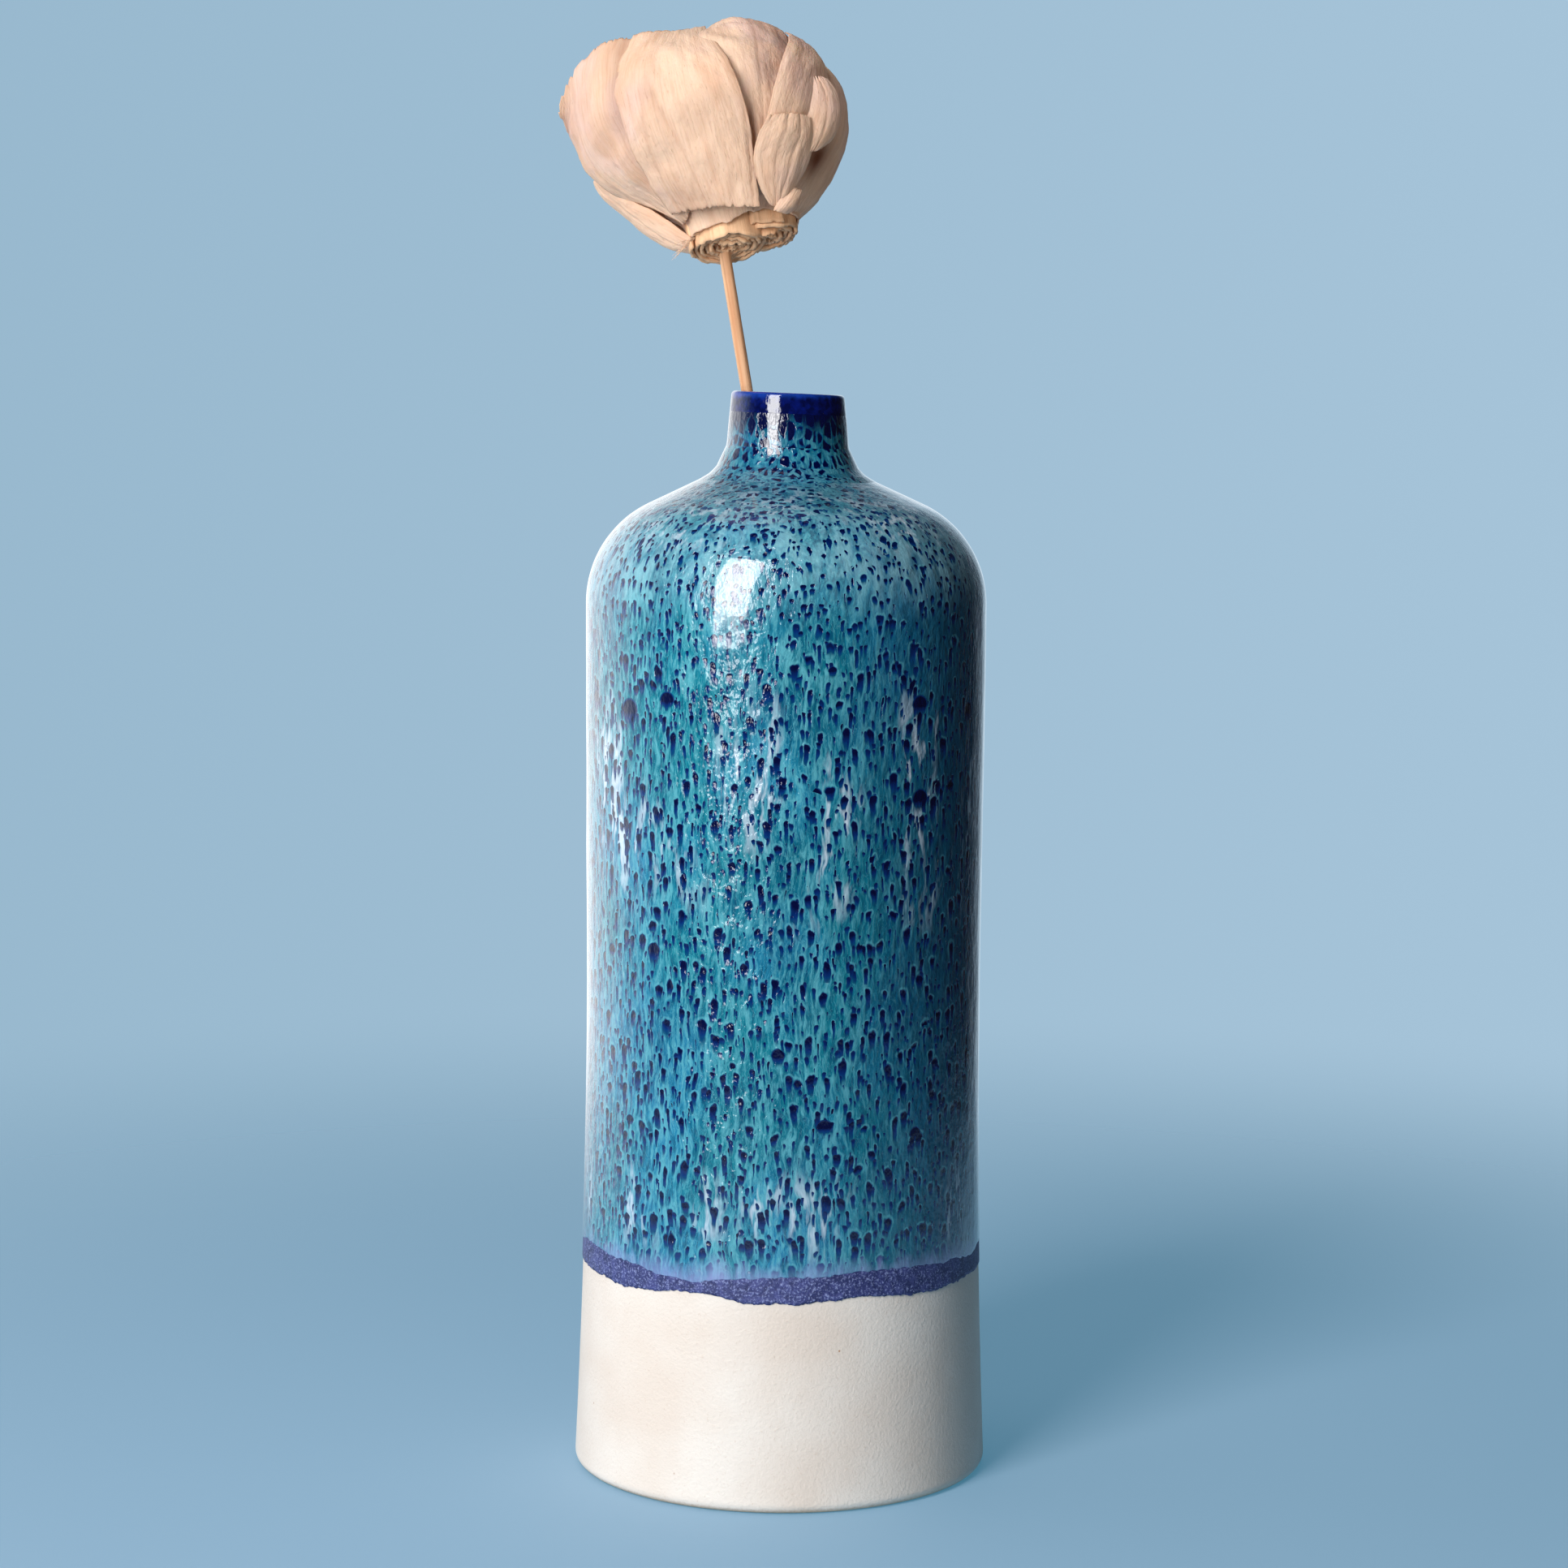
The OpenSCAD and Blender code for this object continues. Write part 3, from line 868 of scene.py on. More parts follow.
@dataclass
class BottleShape:
    """The bottle's outline as a formula, in millimetres."""

    height: float = 200.0
    base_r: float = 38.6
    waist_r: float = 36.4
    waist_z: float = 86.0
    body_r: float = 36.7
    wall: float = 4.0
    floor: float = 7.0
    foot_round: float = 1.8
    corner: float = 3.0
    shoulder_z: float = 161.4
    shoulder_r: float = 20.0
    slope: float = math.radians(65.0)
    neck_r: float = 10.85
    neck_top_r: float = 10.15
    neck_round: float = 9.0
    mouth_r: float = 9.05
    glaze: float = 0.25
    band_low: float = 39.4
    band_high: float = 42.7
    rim_z: float = 196.0
    mouth_z: float = 194.0
    flare: float = 1.8

    def __post_init__(self) -> None:
        """Works out the forms and the lip."""
        self.outer = BottleForm(0.0, self.shoulder_r, self.neck_r, self.neck_top_r, self.neck_round)
        self.inner = BottleForm(self.wall, self.shoulder_r - self.wall, self.mouth_r, self.mouth_r,
                                self.neck_r + self.neck_round - self.mouth_r)
        self.lip_round = (self.neck_top_r - self.mouth_r) / 2
        self.lip_r = self.mouth_r + self.lip_round
        self.lip_z = self.height - self.glaze - self.lip_round
        self.middle_r = self.body_r - self.shoulder_r

    def wall_r(self, z: float) -> float:
        """Radius of the clay's outer wall below the shoulder."""
        if z < self.waist_z:
            share = ((self.waist_z - z) / self.waist_z) ** self.flare
            return self.waist_r + (self.base_r - self.waist_r) * share
        share = (z - self.waist_z) / (self.shoulder_z - self.waist_z)
        return self.waist_r + (self.body_r - self.waist_r) * (1 - math.cos(math.pi * share)) / 2

    def radius(self, z: float, form: BottleForm, coat: float = 0.0) -> float:
        """Radius of a skin.

        Args:
            z: Height.
            form: The skin.
            coat: How far it is moved outwards.

        Returns:
            Its radius at z.
        """
        sine, cosine, tangent = math.sin(self.slope), math.cos(self.slope), math.tan(self.slope)
        end_r = form.neck + form.blend * (1 - cosine)
        top_of_arc = self.shoulder_z + form.shoulder * sine
        start = top_of_arc + (self.middle_r + form.shoulder * cosine - end_r) / tangent + form.blend * sine
        arc, blend = form.shoulder + coat, form.blend - coat
        arc_z, blend_z = self.shoulder_z + arc * sine, start - blend * sine
        if z <= self.shoulder_z:
            return self.wall_r(z) - form.inset + coat
        if z <= arc_z:
            return self.middle_r + math.sqrt(arc * arc - (z - self.shoulder_z) ** 2)
        if z <= blend_z:
            return self.middle_r + arc * cosine - (z - arc_z) * tangent
        if z <= start:
            return form.neck + form.blend - math.sqrt(blend * blend - (start - z) ** 2)
        return form.neck + coat - (form.neck - form.top) * (z - start) / (self.lip_z - start)

    def side(self, low: float, high: float, form: BottleForm, coat: float = 0.0, step: float = 1.0,
             fineness: int = 4000) -> Outline:
        """Points of a skin between two heights.

        Args:
            low: The lower height.
            high: The upper height.
            form: The skin.
            coat: How far it is moved outwards.
            step: Distance between points along the skin.
            fineness: Into how many pieces the skin is cut to measure it.

        Returns:
            The points, upwards.
        """
        fine = [low + (high - low) * i / fineness for i in range(fineness + 1)]
        runs = [0.0]
        for first, second in pairwise((self.radius(z, form, coat), z) for z in fine):
            runs.append(runs[-1] + math.dist(first, second))
        count = max(1, math.ceil(runs[-1] / step))
        heights = np.interp([runs[-1] * i / count for i in range(count + 1)], runs, fine)
        return [(self.radius(float(z), form, coat), float(z)) for z in heights]

    def arc(self, r: float, z: float, size: float, start: float, end: float, steps: int = 8) -> Outline:
        """Points of an arc.

        Args:
            r: Radius of its middle from the bottle's axis.
            z: Height of its middle.
            size: Its own radius.
            start: First angle in degrees.
            end: Last angle in degrees.
            steps: Its number of pieces.

        Returns:
            The points.
        """
        angles = [math.radians(start + (end - start) * i / steps) for i in range(steps + 1)]
        return [(r + size * math.cos(a), z + size * math.sin(a)) for a in angles]

    def lip(self, coat: float = 0.0) -> Outline:
        """The lip's half circle, from outside to inside."""
        return self.arc(self.lip_r, self.lip_z, self.lip_round + coat, 0.0, 180.0, 12)

    def inside_corner(self, coat: float = 0.0) -> Outline:
        """The corner between the floor and the wall inside."""
        z = self.floor + self.corner
        return self.arc(self.radius(z, self.inner) - self.corner, z, self.corner - coat, -90.0, 0.0)


class LatheTree(ShapeTree):
    """Turns an outline round the bottle's axis. Its points are radius, run along the wall and height, in metres."""

    NAME = "lathe"
    INPUTS = {
        "Segments": 256, "Ripple": 0.0, "Edge height": 0.0, "Edge reach": 1.0, "Wave": 0.0, "Wave turn": 0.0,
        "Rim tilt": 0.0,
    }

    def shape(self) -> Signal:
        """Wires the turned grid, its ripple, the wave of its edge and the tilt of its rim."""
        ins = self.ins
        points = self.add("GeometryNodeAttributeDomainSize", {0: ins["Geometry"]}, component="MESH")["Point Count"]
        grid = self.add("GeometryNodeMeshGrid", {"Vertices X": ins["Segments"] + 1.0, "Vertices Y": points})["Mesh"]
        position = self.add("GeometryNodeInputPosition")[0]
        across, along, _ = self.split(position)
        row = self.math("ROUND", (along + 0.5) * (points - 1.0))
        angle = (across + 0.75) * math.tau
        corner = self.add("GeometryNodeSampleIndex", {"Geometry": ins["Geometry"], "Value": position, "Index": row},
                          data_type="FLOAT_VECTOR", domain="POINT")[0]
        radius, run, height = self.split(corner)
        cosine, sine = self.math("COSINE", angle), self.math("SINE", angle)

        swirl = self.combine(cosine, sine, ins["Wave turn"])
        slow = self.noise(swirl, 1.3, 1.0) - 0.5
        quick = self.noise(swirl, 7.0, 3.0, 0.6) - 0.5
        gritty = self.noise(swirl, 46.0, 2.0, 0.6) - 0.5
        wave = slow * 1.9 + quick * 0.55 + gritty * 0.42
        near = self.span(self.math("ABSOLUTE", height - ins["Edge height"]), ins["Edge reach"], 0.0)
        drop = wave * ins["Wave"] * near

        turned = self.combine(radius * cosine, radius * sine, height + drop)
        lumps = self.noise(turned * (1.0, 1.0, 0.5), 130.0) - 0.5
        rippled = turned + self.combine(cosine * lumps, sine * lumps, 0.0) * ins["Ripple"]
        x, _, z = self.split(rippled)
        tilt = x * ins["Rim tilt"] * self.span(z, 0.178, 0.198, smooth=True)

        flow = self.combine(radius * cosine, radius * sine, run + drop) * 1000.0
        stored = self.add("GeometryNodeStoreNamedAttribute", {"Geometry": grid, "Name": "flow", "Value": flow},
                          data_type="FLOAT_VECTOR", domain="POINT")[0]
        place = rippled + self.combine(0.0, 0.0, tilt)
        moved = self.add("GeometryNodeSetPosition", {"Geometry": stored, "Position": place})[0]
        merged = self.add("GeometryNodeMergeByDistance", {"Geometry": moved, "Distance": 0.000002})[0]
        return self.add("GeometryNodeSetShadeSmooth", {0: merged})[0]


@dataclass
class Vase:
    """The thrown body and its coats of glaze."""

    shape: BottleShape
    lathe: LatheTree
    spots: Tree
    streaks: Tree
    rim_tilt: float = -0.036
    skim: float = 0.03
    thin: float = 0.7
    ripple: float = 0.00022

    def spin(self, name: str, node: str, slot: Slot, outline: Outline, material: Material,
             inputs: dict[str, float]) -> None:
        """Turns an outline into a piece and hands it over.

        Args:
            name: The piece's name.
            node: The node that it stands for.
            slot: Its slot; not used.
            outline: Points in millimetres; a ring's outline ends where it starts.
            material: Its finish.
            inputs: Inputs of the lathe.
        """
        run, corners = 0.0, []
        for k, (r, z) in enumerate(outline):
            run += math.dist(outline[k - 1], (r, z)) if k else z
            corners.append((r * MM, run * MM, z * MM))
        edges = list(pairwise(range(len(corners))))
        piece = self.lathe.run(name, corners, edges, material, {"Rim tilt": self.rim_tilt, **inputs})
        hand_over(piece, Body.VASE, slot, node)

    def build(self) -> None:
        """Makes the body, the coats and the liner."""
        self.body()
        self.turquoise_coat()
        self.violet_band()
        self.cobalt_lip()
        self.liner()

    def body(self) -> None:
        """The clay shell, from the middle of its foot over the lip to the middle of its floor."""
        s = self.shape
        outline = (
            [(0.0, 0.0)]
            + s.arc(s.wall_r(s.foot_round) - s.foot_round, s.foot_round, s.foot_round, -90.0, 0.0)
            + s.side(s.foot_round + 0.5, s.lip_z, s.outer, step=1.5)
            + s.lip()[1:]
            + s.side(s.floor + s.corner, s.lip_z, s.inner, step=3.0)[::-1][1:]
            + s.inside_corner()[::-1][1:]
            + [(0.0, s.floor)]
        )
        self.spin("vase_body_clay", "vase_body", Slot.STONEWARE, outline, BareStoneware().build("bare_stoneware"),
                  {"Segments": 256, "Ripple": 0.00008})

    def turquoise_coat(self) -> None:
        """The outer glaze, with a rounded wavy lower edge and a top that thins out below the lip."""
        s = self.shape
        edge = s.arc(s.wall_r(s.band_high), s.band_high, s.glaze, -90.0, -15.0, 3)
        thinning, end = s.rim_z + 0.5, s.rim_z + 0.8
        ring = (
            edge + s.side(s.band_high, s.rim_z, s.outer, s.glaze, 0.85)
            + [(s.radius(thinning, s.outer, s.glaze * self.thin), thinning), (s.radius(end, s.outer, self.skim), end)]
            + s.side(s.band_high, end, s.outer, 0.0, 6.0)[::-1] + edge[:1]
        )
        glaze = ReactiveGlaze(self.spots, self.streaks).build("reactive_glaze")
        self.spin("turquoise_coat", "outer_glaze", Slot.TURQUOISE, ring, glaze, {
            "Segments": 288, "Ripple": self.ripple, "Wave": 0.0030, "Edge height": s.band_high * MM,
            "Edge reach": 0.016, "Wave turn": 2.4,
        })

    def violet_band(self) -> None:
        """The dry edge under the turquoise coat."""
        s = self.shape
        low, high = s.band_low - 0.8, s.band_high + 1.5
        ring = s.side(low, high, s.outer, s.glaze * self.thin, 0.5) + s.side(low, high, s.outer, -0.1, 2.5)[::-1]
        self.spin("violet_edge_band", "violet_band", Slot.VIOLET, ring + ring[:1], VioletBand().build("violet_edge"), {
            "Segments": 640, "Ripple": 0.0001, "Wave": 0.0026, "Edge height": low * MM, "Edge reach": 0.004,
            "Wave turn": 5.1,
        })

    def cobalt_lip(self) -> None:
        """The rim's glaze, over the lip and into the mouth."""
        s = self.shape
        low = s.rim_z - 0.6
        ring = (
            [(s.radius(low, s.outer, self.skim), low), (s.radius(s.rim_z, s.outer, s.glaze * self.thin), s.rim_z)]
            + s.side(s.rim_z + 0.4, s.lip_z, s.outer, s.glaze, 0.5) + s.lip(s.glaze)[1:]
            + s.side(s.mouth_z, s.lip_z, s.inner, -s.glaze, 0.5)[::-1][1:]
            + s.side(s.mouth_z, s.lip_z, s.inner, 0.0, 2.0) + s.lip()[::-1][1:]
            + s.side(low, s.lip_z, s.outer, 0.0, 2.0)[::-1][1:]
        )
        self.spin("cobalt_lip", "rim_glaze", Slot.COBALT, ring + ring[:1], CobaltRim().build("cobalt_rim", s.height),
                  {"Segments": 288, "Ripple": self.ripple})

    def liner(self) -> None:
        """The glaze inside, over the floor and up to the mouth."""
        s = self.shape
        low = s.floor + s.corner
        ring = (
            [(0.0, s.floor + s.glaze)] + s.inside_corner(s.glaze)
            + s.side(low, s.mouth_z, s.inner, -s.glaze, 3.0)[1:] + s.side(low, s.mouth_z, s.inner, 0.0, 3.0)[::-1]
            + s.inside_corner()[::-1][1:] + [(0.0, s.floor)]
        )
        lining = CobaltRim(navy=srgb(8, 44, 96)).build("liner_glaze", s.height + 9.0)
        self.spin("liner_coat", "liner_glaze", Slot.LINER, ring, lining, {"Segments": 128})


# ---------- the stick ----------


class RodTree(ShapeTree):
    """Sweeps a round bar along lines, with a slightly uneven skin."""

    NAME = "rod"
    INPUTS = {"Radius": 0.001, "Sides": 24, "Step": 0.001, "Rough": 0.0, "Taper": 0.0}

    def shape(self) -> Signal:
        """Wires the even line, its taper, the sweep and the skin."""
        ins = self.ins
        line = self.add("GeometryNodeMeshToCurve", {0: ins["Geometry"]})[0]
        even = self.add("GeometryNodeResampleCurve", {"Curve": line, "Length": ins["Step"]}, mode="LENGTH")[0]
        along = self.add("GeometryNodeSplineParameter")["Factor"]
        sized = self.add("GeometryNodeSetCurveRadius", {"Curve": even, "Radius": 1.0 - ins["Taper"] * along})[0]
        ring = self.add("GeometryNodeCurvePrimitiveCircle", {"Resolution": ins["Sides"], "Radius": ins["Radius"]})[0]
        scale = self.add("GeometryNodeInputRadius")[0]
        swept = self.add("GeometryNodeCurveToMesh", {"Curve": sized, "Profile Curve": ring, "Scale": scale,
                                                     "Fill Caps": True})[0]
        place = self.add("GeometryNodeInputPosition")[0]
        grain = self.noise(place * (2600.0, 2600.0, 60.0)) - 0.5
        offset = self.add("GeometryNodeInputNormal")[0] * (grain * ins["Rough"])
        return self.add("GeometryNodeSetPosition", {"Geometry": swept, "Offset": offset})[0]

    def sweep(self, name: str, lines: Sequence[Sequence[Vector]], material: Material,
              inputs: dict[str, float]) -> Piece:
        """Sweeps bars along lines.

        Args:
            name: The piece's name.
            lines: The points of each line, in metres.
            material: Its finish.
            inputs: Inputs of the tree.

        Returns:
            The piece.
        """
        points, edges = [], []
        for line in lines:
            edges += pairwise(range(len(points), len(points) + len(line)))
            points += line
        return self.run(name, points, edges, material, inputs)


@dataclass
class Stick:
    """The bamboo stick: a straight line that leans to the left, from the vase's floor into the flower."""

    rod: RodTree
    lean: float = math.radians(9.7)
    offset: float = 7.5
    mouth: float = 200.0
    diameter: float = 2.2
    skin: float = 0.02
    entry_z: float = 225.6
    depth: float = 14.0
    low_z: float = 7.735

    def point(self, z: float) -> Vector:
        """The line's point at height z, in millimetres."""
        return Vector((-self.offset - (z - self.mouth) * math.tan(self.lean), 0.0, z))

    def build(self, grain: Tree) -> None:
        """Makes the stick with its finish."""
        along = Vector((-math.sin(self.lean), 0.0, math.cos(self.lean)))
        low, high = self.point(self.low_z), self.point(self.entry_z) + along * self.depth
        finish = SplitBamboo(grain, self.lean).build("split_bamboo")
        stick = self.rod.sweep("bamboo_stick_wood", [(low * MM, high * MM)], finish, {
            "Radius": (self.diameter / 2 - self.skin) * MM, "Sides": 28, "Step": 1.5 * MM, "Rough": 0.00012,
        })
        hand_over(stick, Body.STICK, Slot.BAMBOO, "bamboo_stick")


# ---------- the flower ----------


def wander(values: np.ndarray, pitch: float, seed: float, octaves: int = 2) -> np.ndarray:
    """Smooth noise over a set of points.

    Args:
        values: Points, in the last axis of three.
        pitch: Size of its features.
        seed: Moves it to another place.
        octaves: Its number of finer layers.

    Returns:
        The noise, about -1 to 1.
    """
    flat = values.reshape(-1, 3) / pitch
    out = [noise.fractal(Vector((*p[:2], p[2] + seed)), 0.6, 2.0, octaves) for p in flat]
    return np.array(out).reshape(values.shape[:-1])


def triple(x: np.ndarray, y: np.ndarray | float, z: np.ndarray | float) -> np.ndarray:
    """Three arrays, or an array and numbers, as one array of vectors."""
    return np.stack(np.broadcast_arrays(x, y, z), axis=-1)


def sheet_places(rows: int, columns: int, start: float = 0.0) -> tuple[np.ndarray, np.ndarray]:
    """Places on a grid: u across it from start to 1, and v up it from 0 to 1."""
    v, u = np.meshgrid(np.linspace(0, 1, rows), np.linspace(start, 1, columns), indexing="ij")
    return u, v


def unit(values: np.ndarray) -> np.ndarray:
    """The values held between 0 and 1."""
    return np.clip(values, 0.0, 1.0)


@dataclass
class Head:
    """The flower's own frame: its origin at the cut end, its axis up through the bud, in millimetres."""

    entry: Vector
    height: float = 44.0
    root_r: float = 9.0
    swell: float = 18.5
    power: float = 1.3
    tilt: float = math.radians(22.0)
    lean: float = math.radians(10.0)
    entry_in_head: Vector = field(default_factory=lambda: Vector((-4.0, 2.5, 0.0)))

    def __post_init__(self) -> None:
        """Works out the matrix from the head's frame to the vase's, in metres."""
        turn = Matrix.Rotation(-self.lean, 4, "Y") @ Matrix.Rotation(-self.tilt, 4, "X")
        place = Matrix.Translation(self.entry) @ turn @ Matrix.Translation(-self.entry_in_head)
        self.matrix = Matrix.Scale(MM, 4) @ place

    def radius(self, h: np.ndarray) -> np.ndarray:
        """Radius of the head at heights h."""
        t = unit(h / self.height)
        return self.root_r * (1 - t) + self.swell * np.sin(np.pi * t ** self.power)

    def stand_off(self, angle: np.ndarray, height: np.ndarray, out: np.ndarray) -> np.ndarray:
        """Points that stand off from the head's surface.

        Args:
            angle: Direction round the head.
            height: Height of the point below them on the surface.
            out: How far they stand off, square to the surface.

        Returns:
            The points.
        """
        heights = np.linspace(0, self.height, 200)
        lean = np.interp(height, heights, np.gradient(self.radius(heights), self.height / 199))
        size = np.sqrt(1 + lean ** 2)
        r = self.radius(height) + out / size
        return triple(r * np.cos(angle), r * np.sin(angle), height - lean * out / size)


@dataclass
class Sheet:
    """A thin closed sheet on a grid: a middle surface with a thickness, a grain map and tones."""

    name: str
    middle: np.ndarray
    thickness: np.ndarray | float
    grain: np.ndarray
    tone: np.ndarray

    def faces(self) -> list[list[int]]:
        """Faces of both sides and of the border between them."""
        rows, columns, _ = self.middle.shape
        count = rows * columns
        index = np.arange(count).reshape(rows, columns)
        front = np.stack([index[:-1, :-1], index[:-1, 1:], index[1:, 1:], index[1:, :-1]], axis=-1).reshape(-1, 4)
        sides = np.stack([front, front[:, ::-1] + count], axis=1).reshape(-1, 4)
        rim = np.concatenate([index[0], index[1:, -1], index[-1, -2::-1], index[-2:0:-1, 0]])
        ahead = np.roll(rim, -1)
        border = np.stack([ahead, rim, rim + count, ahead + count], axis=-1)
        return np.concatenate([sides, border]).tolist()

    def build(self, matrix: Matrix, material: Material) -> Piece:
        """Makes the piece, with matrix taking the sheet's frame to the vase's."""
        normal = np.cross(np.gradient(self.middle, axis=1), np.gradient(self.middle, axis=0))
        normal /= np.maximum(np.linalg.norm(normal, axis=2, keepdims=True), 1e-9)
        half = normal * (np.atleast_3d(self.thickness) / 2)
        corners = np.concatenate([(self.middle + half).reshape(-1, 3), (self.middle - half).reshape(-1, 3)])
        piece = link_mesh(self.name, corners, [], self.faces())
        mesh = piece.data
        for label, values in (("grain_mm", self.grain), ("tone", self.tone)):
            layer = mesh.attributes.new(label, "FLOAT_VECTOR", "POINT")
            layer.data.foreach_set("vector", np.tile(values.reshape(-1), 2).astype(np.float32))
        mesh.transform(matrix)
        face_outwards(mesh)
        mesh.polygons.foreach_set("use_smooth", [True] * len(mesh.polygons))
        mesh.materials.append(material)
        return piece


Station = tuple[float, float, float]
ShadePatch = tuple[float, float, float, float, float]


@dataclass
class Petal:
    """One petal: three lines from root to tip, each through stations of angle, height and stand-off.

    Angles are in degrees round the head, heights along its axis, and the stand-off is measured out
    from the head's surface, all in millimetres but the angles. A shade patch is its place across and up
    the petal, its width, its height and its strength; it is painted shade, darker where the petal lies in
    a fold, low by its root or in a gap under another petal.
    """

    node: str
    left: Sequence[Station]
    middle: Sequence[Station]
    right: Sequence[Station]
    suffix: str = "leaf"
    # painted shade: a petal inside the cup is darkened all over and takes the darker, oranger shaded wood
    shade: bool = False
    tip_round: float = 0.25
    root_round: float = 0.0
    ragged: float = 0.35
    crease: float = 0.14
    ripple: float = 0.35
    crumple: float = 0.16
    edge_curl: float = 0.0
    thickness: float = 0.42
    columns: int = 60
    rows: int = 84
    seed: float = 0.0
    shade_patches: Sequence[ShadePatch] = ()

    @classmethod
    def plain(cls, node: str, turn: float, half: float, low: float, high: float, level: float, flare: float = 0.0,
              **looks: object) -> "Petal":
        """A petal that widens and rounds off in the usual way.

        Args:
            node: The node that it stands for.
            turn: Its direction round the head in degrees.
            half: Half its width in degrees.
            low: Height of its root.
            high: Height of its tip.
            level: Its layer.
            flare: How far its tip stands out.
            **looks: Other fields.

        Returns:
            The petal.
        """
        shape = ((0.0, 0.5), (0.25, 0.85), (0.5, 1.0), (0.75, 0.95), (1.0, 0.62))
        lines = []
        for side in (-1, 0, 1):
            dip = 0.12 * (high - low) if side else 0.0
            lines.append([(turn + side * half * width, low + (high - low - dip) * v, level + flare * v * v)
                          for v, width in shape])
        return cls(node, *lines, **looks)

    @staticmethod
    def line(stations: Sequence[Station], v: np.ndarray) -> np.ndarray:
        """A smooth line through the stations.

        Args:
            stations: Its stations, root first.
            v: Where it is read, 0 at the root and 1 at the tip.

        Returns:
            Angle, height and stand-off at each v.
        """
        points = np.array(stations, dtype=float)
        spans = len(points) - 1
        padded = np.vstack([2 * points[0] - points[1], points, 2 * points[-1] - points[-2]])
        k = np.minimum((v * spans).astype(int), spans - 1)
        t = (v * spans - k)[..., None]
        a, b, c, d = (padded[k + n] for n in range(4))
        return 0.5 * (2 * b + (c - a) * t + (2 * a - 5 * b + 4 * c - d) * t ** 2 + (3 * b - a - 3 * c + d) * t ** 3)

    def torn(self, u: np.ndarray, v: np.ndarray, length: float) -> tuple[np.ndarray, np.ndarray]:
        """Places across and up the petal, with its ends drawn in and its edges a little ragged."""
        edge = triple(u * 3.0, v * 5.0, self.seed)
        jag_v = wander(edge * (1, 0, 1), 0.28, self.seed, 3)
        jag_u = wander(edge * (0, 1, 1) + (1, 0, 0) * np.sign(u)[..., None], 0.30, self.seed + 9.0, 3)
        reach = unit(v + self.ragged * (jag_v * (v ** 8 - (1 - v) ** 8)) * 2.2 / length)
        tip, root = unit((reach - 0.72) / 0.28), unit((0.28 - reach) / 0.28)
        squeeze = (1 - self.tip_round * tip ** 2.2) * (1 - self.root_round * root ** 2.2)
        return u * squeeze * (1 + self.ragged * 0.05 * jag_u * np.abs(u) ** 6), reach

    def sheet(self, head: Head) -> Sheet:
        """The petal as a sheet in the frame of the head that it lies on."""
        u, v = sheet_places(self.rows, self.columns, -1.0)
        length = max(1.0, abs(self.middle[-1][1] - self.middle[0][1]))
        across, reach = self.torn(u, v, length)
        left, middle, right = (self.line(s, reach) for s in (self.left, self.middle, self.right))
        w = across[..., None]
        spot = left * w * (w - 1) / 2 + middle * (1 - w * w) + right * w * (w + 1) / 2
        angle, height, out = np.radians(spot[..., 0]), spot[..., 1], spot[..., 2]

        width = np.radians(abs(self.right[2][0] - self.left[2][0])) * 18.0
        grain = triple(u * width / 2, v * length * 1.25, self.seed * 7.0)
        swell = wander(grain, 9.0, self.seed)
        folds = wander(grain * (1.0, 0.12, 1.0), 6.5, self.seed + 3.0, 1)
        fold = np.maximum(0.0, 1 - np.abs(folds) * 12.0)
        fibre = wander(grain * (1.0, 0.10, 1.0), 0.8, self.seed + 5.0)
        crumple = wander(grain * (1.0, 0.55, 1.0), 3.4, self.seed + 7.0, 3)
        out = (out + self.ripple * swell - self.crease * fold + self.crumple * crumple + 0.025 * fibre
               + self.edge_curl * np.abs(u) ** 5)

        rim = np.minimum((1 - np.abs(u)) * 8, np.minimum(v, 1 - v) * 14)
        border = unit((np.maximum(np.abs(u), np.abs(2 * v - 1)) - 0.955) / 0.04)
        # painted shade: darker all over on a petal inside the cup
        dark = np.full_like(u, 0.35 if self.shade else 0.0)
        # painted shade patches: darker in folds, by the root and in gaps under other petals
        for at_u, at_v, wide, tall, depth in self.shade_patches:
            dark = np.maximum(dark, depth * np.exp(-((u - at_u) / wide) ** 2 - ((v - at_v) / tall) ** 2))
        # the tone's second part: the folds, darkened as painted shade in the creases, and the rim
        return Sheet(f"{self.node}_{self.suffix}", head.stand_off(angle, height, out),
                     self.thickness * (0.45 + 0.55 * unit(rim)), grain, triple(dark, np.maximum(fold, 1.6 * border), v))


@dataclass
class RolledRoot:
    """One lobe of the root: a shaving rolled into a spiral and cut off raggedly."""

    node: str
    x: float
    y: float
    low: float
    turns: float
    seed: float
    radius: float = 7.0
    high: float = 8.2
    heart: float = 0.7
    squash: float = 0.9
    thickness: float = 0.62

    def sheet(self) -> Sheet:
        """The roll as a sheet in the head's frame."""
        u, v = sheet_places(14, 420)
        turn = u * self.turns * math.tau
        wave = wander(triple(np.cos(turn) * 2, np.sin(turn) * 2, u * 6), 1.0, self.seed, 3)
        ring = wander(triple(u * self.turns * 2.2, 0.0, 0.0), 0.7, self.seed + 4, 3)
        fray = wander(triple(turn * 2.4, 0.0, 0.0), 0.5, self.seed + 8, 3)
        r = self.heart + (self.radius - self.heart) * u ** 0.9 + 0.28 * wave
        low = self.low + 0.85 * ring + 0.4 * fray + 0.25
        height = low + (self.high - low) * v
        points = triple(self.x + r * np.cos(turn + self.seed), self.y + r * np.sin(turn + self.seed) * self.squash,
                        height)
        tone = triple(np.clip(0.10 - v * 1.2 + 0.20 * ring, 0.0, 0.32), unit(fray) * (v < 0.2), v)
        return Sheet(f"{self.node}_spiral", points, self.thickness, triple(turn * r, height, self.seed), tone)


